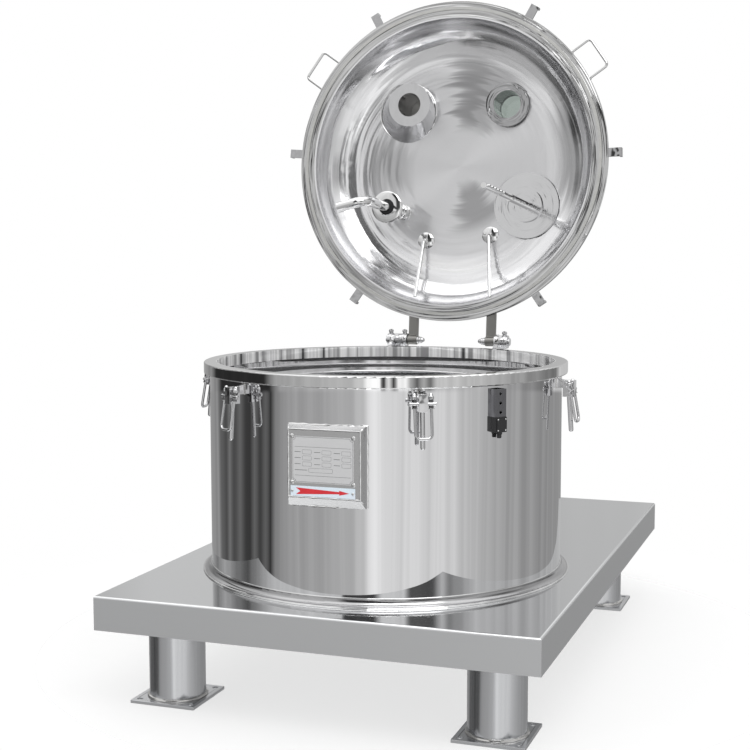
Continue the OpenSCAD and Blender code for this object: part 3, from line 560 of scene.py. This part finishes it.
# Each latch is a forked lever on a lug of the casing, and a bail with threaded ends that
# passes through the lever's cross bar, where two acorn nuts hold it.
small_steel = polished("stainless bar, tumbled bright", "#D2D2D3", 0.2, 30.0, (0.02, 0.07))
dress(small_steel, "latch_lugs", bevel=0.8)
latch_angles = (-145, -86, -29, 29, 88, 145)
acorn = [
    (0, 0), (0.0072, 0), (0.0085, 0.001), (0.0085, 0.008), (0.0072, 0.009), (0.0066, 0.010),
    (0.0062, 0.0135), (0.0048, 0.017), (0.0026, 0.019), (0, 0.0195),
]
for index, angle in enumerate(latch_angles, 1):
    dress(small_steel, f"lever_{index}", bevel=1.0)
    dress(small_steel, f"bail_{index}")
    at = drum @ Matrix.Rotation(math.radians(angle), 4, "Z")
    bar = at @ Matrix.Translation((0, -0.632, 0.969)) @ Matrix.Rotation(math.radians(170), 4, "X")
    bm = bmesh.new()
    for x in (-0.0245, 0.0245):
        nut = bar @ Matrix.Translation((x, 0, -0.0130)) @ Matrix.Rotation(math.pi, 4, "X")
        turned(bm, nut, acorn, steps=18)
        washer = bar @ Matrix.Translation((x, 0, 0.0130))
        turned(bm, washer, [(0.0045, 0), (0.009, 0), (0.009, 0.0016), (0.0045, 0.0016)], steps=18)
    for side in (-1, 1):
        cap = bar @ Matrix.Translation((side * 0.039, 0, 0)) @ Matrix.Rotation(side * math.pi / 2, 4, "Y")
        turned(bm, cap, dome(0.006, 0.002), steps=16)
    made(f"bail_nuts_{index}", f"latch_{index}_bail", small_steel, bm)
    bm = bmesh.new()
    pivot = at @ Matrix.Translation((0, -0.616, 0.985))
    for side in (-1, 1):
        head = pivot @ Matrix.Translation((side * 0.013, 0, 0)) @ Matrix.Rotation(side * math.pi / 2, 4, "Y")
        turned(bm, head, dome(0.0075, 0.003), steps=18)
    made(f"lever_pin_heads_{index}", f"latch_{index}_lever", small_steel, bm)

bm = bmesh.new()
for angle in latch_angles:
    at = drum @ Matrix.Rotation(math.radians(angle), 4, "Z")
    corners = [
        at @ Vector((x, -math.sqrt(casing_r**2 - x * x), z))
        for x, z in rectangle(-0.006, 0.006, 0.9735, 1.0045)
    ]
    bead(bm, polyline(corners, 0.003), 0.0022, up=at.to_3x3() @ outward, ripple=0.3)
made("lug_welds", "base", weld_steel, bm)

# The hinge has two brackets on the casing, each with a barrel that two clamp bands and
# domed screws close round its pin, and the pins end in acorn nuts.
dress(small_steel, "hinge_brackets", bevel=1.2)
dress(small_steel, "hinge_pins")
hinge = Vector((0, 0.344, 1.063))
along_x = Matrix.Rotation(math.radians(90), 4, "Y")
band = [(0.0238, 0), (0.0262, 0), (0.0268, 0.0015), (0.0268, 0.0125), (0.0262, 0.014), (0.0238, 0.014)]
stud = [
    (0, 0), (0.0075, 0), (0.0075, 0.004), (0.0095, 0.0045), (0.0095, 0.008), (0.0085, 0.0115),
    (0.0055, 0.0140), (0, 0.0150),
]
bm = bmesh.new()
for x in (-0.2115, -0.157, 0.2035, 0.2335):
    turned(bm, Matrix.Translation(hinge + Vector((x - 0.007, 0, 0))) @ along_x, band, steps=40)
for x in (-0.2115, -0.157, 0.2335):
    turned(bm, Matrix.Translation(hinge + Vector((x, -0.002, 0.0255))), stud, steps=20)
made("hinge_bands", "base", small_steel, bm)
bm = bmesh.new()
big_acorn = [(r * 1.45, z * 1.15) for r, z in acorn]
turned(bm, Matrix.Translation(hinge + Vector((-0.101, 0, 0))) @ along_x, big_acorn)
turned(bm, Matrix.Translation(hinge + Vector((0.153, 0, 0))) @ along_x.inverted(), big_acorn)
made("hinge_pin_nuts", "base", small_steel, bm)

# The motor cover is a spun housing bolted to the base behind the drum, with rows of pressed
# louvres that let the motor's air out. The drain pipe leaves low on the casing.
dress(mirror_steel, "motor_cover drain_pipe")
motor = drum @ Matrix.Translation((0, 1.0, deck_z))
cover_r, louvres_round, bolts_round = 0.2, 16, 10
span, lift, rise = 0.025, 0.006, 0.013
bm = bmesh.new()
for row in (0.330, 0.365, 0.400, 0.435):
    for n in range(louvres_round):
        turn = Matrix.Rotation(2 * math.pi * (n + 0.5) / louvres_round, 4, "Z")
        at = motor @ turn @ Matrix.Translation((0, -cover_r, row))
        hood = []
        for k in range(9):
            u = -1 + k / 4
            swell = math.sqrt(max(0.0, 1 - u * u))
            back = math.sqrt(cover_r**2 - (span * u) ** 2) - cover_r
            hood.append(
                [
                    bm.verts.new(at @ Vector((span * u, -back - lift * swell, 0))),
                    bm.verts.new(at @ Vector((span * u, -back - lift * swell * 0.8, rise * 0.4 * swell))),
                    bm.verts.new(at @ Vector((span * u, -back + 0.001, rise * swell + 0.0005))),
                ]
            )
        for a, b in zip(hood, hood[1:]):
            for j in range(2):
                bm.faces.new((a[j], b[j], b[j + 1], a[j + 1]))
made("motor_louvres", "base", mirror_steel, bm)


def hexagon(radius):
    """The six corners of a hexagon."""
    turns = (math.radians(60 * n) for n in range(6))
    return [(radius * math.cos(a), radius * math.sin(a)) for a in turns]


def bolt(bm, place, radius):
    """A hexagon head on its washer, standing on the XY of a frame."""
    washer_r, washer_top, head_top = radius * 1.25, radius * 0.2, radius * 0.8
    turned(bm, place, [(0, 0), (washer_r, 0), (washer_r, washer_top), (0, washer_top)], steps=20)
    outline(bm, hexagon(radius), washer_top, head_top, place)
    crown = [(radius * 0.82, 0), (radius * 0.7, radius * 0.1), (0, radius * 0.1)]
    turned(bm, place @ Matrix.Translation((0, 0, head_top)), crown, steps=20)


bm = bmesh.new()
for n in range(bolts_round):
    turn = Matrix.Rotation(2 * math.pi * (n + 0.5) / bolts_round, 4, "Z")
    bolt(bm, motor @ turn @ Matrix.Translation((0, -0.2115, 0.012)), 0.0065)
made("motor_cover_bolts", "base", small_steel, bm)
drain = (
    drum
    @ Matrix.Rotation(math.radians(-160), 4, "Z")
    @ Matrix.Translation((0, -casing_r, 0.427))
    @ Matrix.Rotation(math.radians(90), 4, "X")
)
bm = bmesh.new()
drain_joint = circle(drain @ Matrix.Translation((0, 0, 0.0008)), 0.0395)
bead(bm, drain_joint, 0.003, up=drain.to_3x3() @ Vector((0, 0, 1)))
made("drain_weld", "base", weld_steel, bm)

# The basket is rolled plate drilled all over, with hoops outside and a turned lip. Its holes are drawn in
# the finish as near-black discs, painted shade for the gap seen through them, in rows that are each turned
# by half a step from the one below.
dress(mirror_steel, "basket_hoops basket_lip basket_hub spindle")
dress(belt_steel, "basket_floor")
holes_round, hole_pitch, row_pitch, hole_r = 130, 0.0242, 0.021, 0.0028
drilled, tree = material("stainless plate, drilled and brushed")
part = add(tree, "SeparateXYZ", {0: vector(tree, "SUBTRACT", object_place(tree), drum.translation)})
turn = number(tree, "ARCTAN2", part["Y"], part["X"])
column = number(tree, "MULTIPLY", turn, holes_round / (2 * math.pi))
row = number(tree, "MULTIPLY", part["Z"], 1 / row_pitch)
odd = number(tree, "MODULO", number(tree, "FLOOR", row), 2.0)
shifted = number(tree, "MULTIPLY_ADD", odd, 0.5, column)
u, v = (
    number(tree, "MULTIPLY", number(tree, "SUBTRACT", number(tree, "FRACT", steps), 0.5), pitch)
    for steps, pitch in ((shifted, hole_pitch), (row, row_pitch))
)
off = vector(tree, "LENGTH", add(tree, "CombineXYZ", {0: u, 1: v})[0])
hole = scaled(tree, off, 0.0, 1.0, hole_r + 0.0008, hole_r)
countersink = scaled(tree, off, 0.0, 1.0, hole_r, hole_r + 0.0014)
# Each hole is painted near black, which is painted shade for the dark gap behind the plate
tint = mixed(tree, hole, linear("#CFCFD0"), linear("#0B0B0C"))
bump = bumped(tree, 0.8, 0.001, countersink)
surface(tree, {"Metallic": 1.0, "Roughness": 0.2, "Base Color": tint, "Normal": bump})
dress(drilled, "basket_wall")

# The lid is a dish pressed and spun from 6 mm sheet and brushed in circles while it turned,
# so that each highlight is drawn out into a fan. The grooves run round its middle.
lid_frame = (
    Matrix.Translation(hinge)
    @ Matrix.Rotation(math.radians(-95), 4, "X")
    @ Matrix.Translation((0, -0.673, 0.006 - 0.017))
)
lid_axis = lid_frame.to_3x3() @ Vector((0, 0, 1))
lid_middle = lid_frame @ Vector((0, 0, 0))

spun_steel, tree = material("stainless steel spun and brushed in circles")
from_middle = vector(tree, "SUBTRACT", object_place(tree), lid_middle)
round_way = vector(tree, "CROSS_PRODUCT", from_middle, lid_axis)
radius = vector(tree, "LENGTH", round_way)
# Grooves round the middle spread a highlight outwards, across them
to_world = {"vector_type": "VECTOR", "convert_from": "OBJECT", "convert_to": "WORLD"}
outward_way = vector(tree, "CROSS_PRODUCT", round_way, lid_axis)
across_world = add(tree, "VectorTransform", {**to_world, 0: outward_way})[0]
grooves = noise(tree, radius, 420.0, 2.0, along="W")
rings = noise(tree, radius, 40.0, 1.0, along="W")
lid_lathe = {"middle": lid_middle, "axis": lid_axis}
dish_lathe = dict(lid_lathe, shading="Normal", grooves=0.12, groove_scale=42.0, arcs=1.6, calm=0.18)
bump = bumped(tree, 0.12, 0.0002, grooves, Normal=lathe_normal(tree, **dish_lathe))
# The edges of the painted reflection fans wander a little from one radius to the next
stray = scaled(tree, noise(tree, radius, 26.0, 4.0, along="W"), -0.5, 0.5)
strayed = vector(tree, "ADD", from_middle, vector(tree, "SCALE", round_way, stray))
# Fans of reflection are painted into the dish's colour, darker ones and one lighter one: direction from the
# middle and spread in degrees, inner and outer radius, and how much darker each is than the rest
soft_edge, eased = 0.07, {"interpolation_type": "SMOOTHSTEP"}
shade = 1.0
for degrees, spread, inner, outer, dark in (
    (-84, 15, 0.13, 0.46, 0.26),
    (-72, 27, 0.12, 0.45, 0.34),
    (68, 32, 0.04, 0.28, 0.42),
    (180, 28, 0.17, 0.36, 0.24),
    (-5, 30, 0.36, 0.51, 0.52),
    (94, 42, 0.31, 0.46, -0.22),
):
    way = math.radians(degrees)
    fan_way = lid_frame.to_3x3() @ Vector((math.cos(way), math.sin(way), 0))
    cosine = number(tree, "DIVIDE", vector(tree, "DOT_PRODUCT", strayed, fan_way), radius)
    edge, full = math.cos(math.radians(spread)), math.cos(math.radians(spread * 0.25))
    fan = scaled(tree, cosine, 0.0, 1.0, edge, full, **eased)
    for near, far in ((inner, inner + soft_edge), (outer, outer - soft_edge)):
        fan = number(tree, "MULTIPLY", fan, scaled(tree, radius, 0.0, 1.0, near, far, **eased))
    shade = number(tree, "MULTIPLY", scaled(tree, fan, 1.0, 1.0 - dark, clamp=False), shade)
# Both take the painted reflection fans in their colour. The knuckle is buffed more than the crown
crown_shader, knuckle_shader = (
    add(
        tree,
        "BsdfPrincipled",
        {
            "Base Color": vector(tree, "SCALE", grey, shade),
            "Metallic": 1.0,
            "Anisotropic": pull,
            "Roughness": scaled(tree, rings, *smooth),
            "Normal": bump,
            "Tangent": across_world,
        },
    )[0]
    for grey, pull, smooth in (
        ((0.67, 0.67, 0.68), 0.7, (0.36, 0.5)),
        ((0.84, 0.84, 0.85), 0.5, (0.06, 0.18)),
    )
)
buffed = scaled(tree, radius, 0.3, 0.85, 0.33, 0.42)
both = add(tree, "MixShader", {0: buffed, 1: crown_shader, 2: knuckle_shader})[0]
add(tree, "OutputMaterial", {"Surface": both})
dress(spun_steel, "lid_dish")
flange_name = "stainless ring, turned and buffed"
flange_lathe = dict(lid_lathe, shading="True Normal", grooves=0.5, groove_scale=110.0, arcs=2.5)
flange_steel = polished(flange_name, "#C2C2C2", 0.15, 7.0, (0.03, 0.08), flange_lathe)
dress(flange_steel, "lid_flange")
dress(bright_steel, "lid_handles feed_pipe wash_pipe rinse_tubes")
port_steel = polished("stainless cone, hand buffed", "#C6C6C7", 1.0, 14.0, (0.04, 0.1))
dress(port_steel, "loading_port")
arm_steel = polished("stainless flat bar, satin", "#8F8E8B", 0.1, 12.0, (0.28, 0.38))
dress(arm_steel, "hinge_arms", bevel=1.5)
hook_steel = polished("stainless flat bar, buffed", "#B4B4B5", 0.9, 35.0, (0.03, 0.08))
dress(hook_steel, "lid_hooks", bevel=0.8)

# What passes through the dish is welded in: the port's cone, the sight glass, the feed and
# wash necks and the two rinse tubes.
knuckle_x, knuckle_turn, knuckle_r = 0.410, math.radians(84), 0.135
dish_edge, dish_sheet = 0.004, 0.006
crown_r = knuckle_x / math.cos(knuckle_turn) + knuckle_r
crown_z = dish_edge - knuckle_x * math.tan(knuckle_turn)
port_at, cone_at, sight_at = (-0.186, -0.232), (-0.2125, -0.214), (0.188, -0.231)
feed_at, wash_at = (-0.221, 0.175), (0.273, 0.154)
rinses_at = ((-0.126, 0.286), (0.132, 0.265))


def on_dish(x, y, inside=True):
    """A point of the dish's inner or outer face."""
    radius = crown_r - (dish_sheet if inside else 0)
    return lid_frame @ Vector((x, y, crown_z + math.sqrt(radius**2 - x * x - y * y)))


def dish_ring(x, y, radius, inside=True):
    """Points round a circle on the dish."""
    count = round(2 * math.pi * radius / 0.004)
    turns = (2 * math.pi * n / count for n in range(count))
    return [on_dish(x + radius * math.cos(a), y + radius * math.sin(a), inside) for a in turns]


bm = bmesh.new()
inner_welds = [(cone_at, 0.1125), (sight_at, 0.060), (feed_at, 0.0265)] + [(at, 0.0085) for at in rinses_at]
outer_welds = [(port_at, 0.052), (sight_at, 0.0595), (feed_at, 0.026), (wash_at, 0.021)]
outer_welds += [(at, 0.008) for at in rinses_at]
for welds, thick, inside in ((inner_welds, 0.0028, True), (outer_welds, 0.003, False)):
    for (x, y), ring_r in welds:
        bead(bm, dish_ring(x, y, ring_r, inside), thick, up=lid_axis, ripple=0.3)
flange_joint = circle(lid_frame @ Matrix.Translation((0, 0, 0.0195)), 0.546, 0.007)
bead(bm, flange_joint, 0.003, up=lid_axis, ripple=0.3)
made("lid_welds", "lid", bright_steel, bm)


def lid_place(x, y, above):
    """A frame on the dish's outer face, raised along the lid's axis, Z out of the closed lid."""
    z = crown_z + math.sqrt(crown_r**2 - x * x - y * y)
    return lid_frame @ Matrix.Translation((x, y, z + above))


for names, at, colour, grooves in (
    ("sight_glass_body sight_glass_ring", sight_at, "#A8A8A9", 0.35),
    ("feed_neck", feed_at, "#C9C9C9", 0.35),
    ("wash_neck", wash_at, "#D2D2D3", 0.07),
):
    about = {"middle": lid_place(*at, 0).translation, "axis": lid_axis, "shading": "Normal"}
    about |= {"grooves": grooves, "groove_scale": 150.0, "arcs": 1.5}
    turned_steel = polished("stainless fitting, turned", colour, 0.2, 9.0, (0.05, 0.12), about)
    dress(turned_steel, names)

bm = bmesh.new()
sight = lid_place(*sight_at, 0.096)
for n in range(8):
    at = sight @ Matrix.Rotation(2 * math.pi * n / 8, 4, "Z") @ Matrix.Translation((0.0715, 0, 0))
    bolt(bm, at, 0.0065)
made("sight_glass_bolts", "lid", small_steel, bm)

# A blank disc in the port's clamp ferrule closes its outer end
bm = bmesh.new()
blank = [(0, 0), (0.0448, 0), (0.0448, 0.004), (0, 0.004)]
turned(bm, lid_place(*port_at, 0.084), blank, steps=48)
made("port_blank", "lid", arm_steel, bm)

bm = bmesh.new()
feed_flange = lid_place(*feed_at, -0.210)
cap = [(0.0265, 0.0), (0.030, -0.0045), (0.046, -0.0038), (0.056, -0.0018), (0.0595, 0.0)]
turned(bm, feed_flange, cap, steps=64)
for above in (-0.055, -0.085, -0.115, -0.145):
    ring = lid_place(*feed_at, above)
    turned(bm, ring, [(0.0245, -0.006), (0.029, -0.003), (0.029, 0.003), (0.0245, 0.006)], steps=40)
made("feed_flange_cap", "lid", bright_steel, bm)

# The feed pipe's seal, and flat black discs on the wash pipe that are painted shade for the open mouths of
# its nozzles
bm = bmesh.new()
turned(bm, feed_flange, [(0.0188, -0.002), (0.0265, -0.002), (0.0265, 0.001), (0.0188, 0.001)], steps=40)
rubber, tree = material("silicone rubber, moulded black, and painted nozzle shade")
rough = scaled(tree, noise(tree, object_place(tree), 60.0, 4.0), 0.5, 0.7)
surface(tree, {"Base Color": linear("#222224"), "IOR": 1.43, "Roughness": rough})
# Each nozzle's mouth is a flat black disc, painted shade for its hole
wash_tip = -0.640
for n in range(6):
    nozzle = lid_place(*wash_at, wash_tip + 0.020 + 0.040 * n)
    mouth = nozzle @ Matrix.Translation((0.019, 0, 0)) @ along_x
    turned(bm, mouth, [(0, 0.0004), (0.0032, 0.0004)], steps=14)
made("feed_pipe_seal_and_nozzle_shade", "lid", rubber, bm)
silicone, tree = material("silicone rubber, pale grey cord")
dust = noise(tree, object_place(tree), 40.0, 4.0)
tint = mixed(tree, dust, linear("#A3A3A1"), linear("#B7B7B4"))
surface(tree, {"IOR": 1.43, "Base Color": tint, "Roughness": scaled(tree, dust, 0.3, 0.45)})
dress(silicone, "lid_gasket")

flange_r = 0.600
bm = bmesh.new()
for x, y in rinses_at:
    for sign, inside in ((-1, True), (1, False)):
        boss = lid_place(x, y, -dish_sheet if inside else 0.0)
        profile = [(0.007, sign * 0.007), (0.012, sign * 0.007), (0.030, sign * 0.0025), (0.033, -0.001)]
        turned(bm, boss, profile, steps=48)
for side in (-1, 1):
    grip = lid_frame @ Matrix.Rotation(math.radians(55 * side), 4, "Z")
    for x in (-0.060, 0.060):
        rest = grip @ Matrix.Translation((x, -math.sqrt(flange_r**2 - x * x), 0.010))
        foot = rest @ Matrix.Rotation(math.radians(90), 4, "X")
        turned(bm, foot, [(0.0085, -0.002), (0.0080, 0.002), (0.0052, 0.0045)], steps=20)
made("lid_bosses", "lid", bright_steel, bm)

# The sight glass is a disc of toughened glass, 12 mm thick and slightly green.
glass, tree = material("toughened glass, polished")
green_tint = linear("#C9D6CF")
surface(tree, {"Base Color": green_tint, "Roughness": 0.03, "IOR": 1.52, "Transmission Weight": 1.0})
dress(glass, "sight_glass_pane")

# The studio: an even white room with a tall soft light to the right of the camera and dark
# flags at the left, which the mirror finish shows as upright bands, and a pale floor.
world = bpy.data.worlds.new("studio")
bpy.context.scene.world = world
world.use_nodes = True
tree = world.node_tree
tree.nodes.clear()
way = add(tree, "SeparateXYZ", {0: add(tree, "TexCoord")["Generated"]})
front = number(tree, "MULTIPLY", way["Y"], -1.0)
turn = number(tree, "ARCTAN2", way["X"], front)
share = scaled(tree, turn, 0.0, 1.0, -math.pi, math.pi)


def band_of(levels):
    """Grey levels against the direction in degrees from the front, round to the right."""
    stops = [((degrees + 180) / 360, (grey, grey, grey, 1)) for degrees, grey in levels]
    return add(tree, "ValToRGB", {"stops": stops, 0: share})[0]


floor_band = band_of(
    [
        (-180, 0.32), (-120, 0.34), (-116, 0.17), (-106, 0.09), (-101, 0.20), (-96, 0.09), (-88, 0.17),
        (-82, 0.06), (-77, 0.05), (-73, 0.18), (-68, 0.06), (-63, 0.17), (-59, 0.04), (-55, 0.30),
        (-44, 0.45), (-24, 0.46), (6, 0.66), (9, 1.05), (24, 0.92), (52, 0.88), (80, 0.60),
        (115, 0.43), (150, 0.36), (180, 0.32),
    ]
)
skirting_band = band_of(
    [
        (-180, 0.55), (-120, 0.30), (-112, 0.03), (-60, 0.03), (-52, 0.45), (-20, 0.56), (0, 0.66),
        (6, 0.75), (8, 1.30), (16, 1.30), (17, 0.04), (19, 0.04), (20, 1.0), (22, 1.0), (23, 0.04),
        (25, 0.04), (26, 1.25), (31, 1.25), (34, 0.50), (38, 0.14), (42, 0.55), (46, 0.20),
        (50, 0.72), (80, 0.62), (120, 0.35), (150, 0.20), (158, 0.70), (180, 0.55),
    ]
)
wall_band = band_of(
    [
        (-180, 0.62), (-161, 0.55), (-150, 0.58), (-125, 0.30), (-110, 0.55), (-80, 0.12), (-55, 0.80),
        (-30, 0.84), (-10, 0.84), (-8, 0.08), (12, 0.08), (17, 1.0), (31, 0.95), (35, 0.12), (50, 0.12),
        (55, 0.70), (60, 0.30), (78, 0.75), (120, 0.62), (150, 0.66), (180, 0.62),
    ]
)
ceiling_band = band_of(
    [
        (-180, 0.95), (-140, 1.05), (-121, 1.00), (-116, 0.12), (-108, 0.12), (-103, 1.00), (-80, 1.00),
        (-45, 1.05), (-20, 0.95), (-12, 0.80), (-9, 0.03), (20, 0.03), (38, 1.05), (80, 0.85),
        (105, 0.12), (140, 0.80), (180, 0.95),
    ]
)
underfoot_band = band_of(
    [
        (-180, 0.50), (-120, 0.36), (-75, 0.36), (-52, 0.06), (-22, 0.06), (-18, 0.50), (20, 0.80),
        (70, 0.55), (110, 0.20), (150, 0.40), (180, 0.45),
    ]
)


def blended(low_end, high_end, below, above):
    """Goes from one band to the next between two heights of the direction."""
    lift = scaled(tree, way["Z"], 0.0, 1.0, low_end, high_end, interpolation_type="SMOOTHSTEP")
    return mixed(tree, lift, below, above)


room = blended(-0.65, -0.40, underfoot_band, floor_band)
room = blended(-0.1085, -0.1050, room, skirting_band)
room = blended(0.0, 0.16, room, wall_band)
room = blended(0.26, 0.5, room, ceiling_band)
# Right overhead hangs the brightest light
room = blended(0.62, 0.86, room, (1.7, 1.7, 1.7, 1))
# Posts, frames and folds break each band into upright streaks
posts = noise(tree, turn, 7.0, 3.0, along="W")
room = vector(tree, "SCALE", room, scaled(tree, posts, 0.88, 1.12, 0.3, 0.7))
path = add(tree, "LightPath")
plain = mixed(tree, path["Is Diffuse Ray"], room, (0.95, 0.95, 0.95, 1))
shown = mixed(tree, path["Is Camera Ray"], plain, (1, 1, 1, 1))
add(tree, "OutputWorld", {"Surface": add(tree, "Background", {"Color": shown})[0]})

floor_material, tree = material("matt white paper")
reach = vector(tree, "LENGTH", object_place(tree))
fade = scaled(tree, reach, 0.0, 1.0, 1.1, 2.0, interpolation_type="SMOOTHSTEP")
paper = add(tree, "BsdfDiffuse", {"Color": linear("#F7F7F7")})[0]
clear = add(tree, "BsdfTransparent")[0]
layer = add(tree, "MixShader", {0: scaled(tree, fade, 0.68, 1.0), 1: paper, 2: clear})[0]
add(tree, "OutputMaterial", {"Surface": layer})
floor_mesh = bpy.data.meshes.new("floor")
bm = bmesh.new()
bmesh.ops.create_circle(bm, cap_ends=True, segments=96, radius=2.1)
bm.to_mesh(floor_mesh)
bm.free()
floor = bpy.data.objects.new("floor", floor_mesh)
floor.data.materials.append(floor_material)
bpy.context.scene.collection.objects.link(floor)
floor.visible_glossy = False

lamp = bpy.data.objects.new("soft_light", bpy.data.lights.new("soft_light", "AREA"))
lamp.data.shape = "RECTANGLE"
lamp.data.size, lamp.data.size_y = 3.0, 2.0
lamp.data.energy = 45
lamp.location = (1.5, -2.5, 4.2)
lamp.rotation_euler = (Vector((0, 0, 0.6)) - lamp.location).to_track_quat("-Z", "Y").to_euler()
bpy.context.scene.collection.objects.link(lamp)

bpy.context.scene.view_settings.view_transform = "Standard"

bpy.context.view_layer.update()
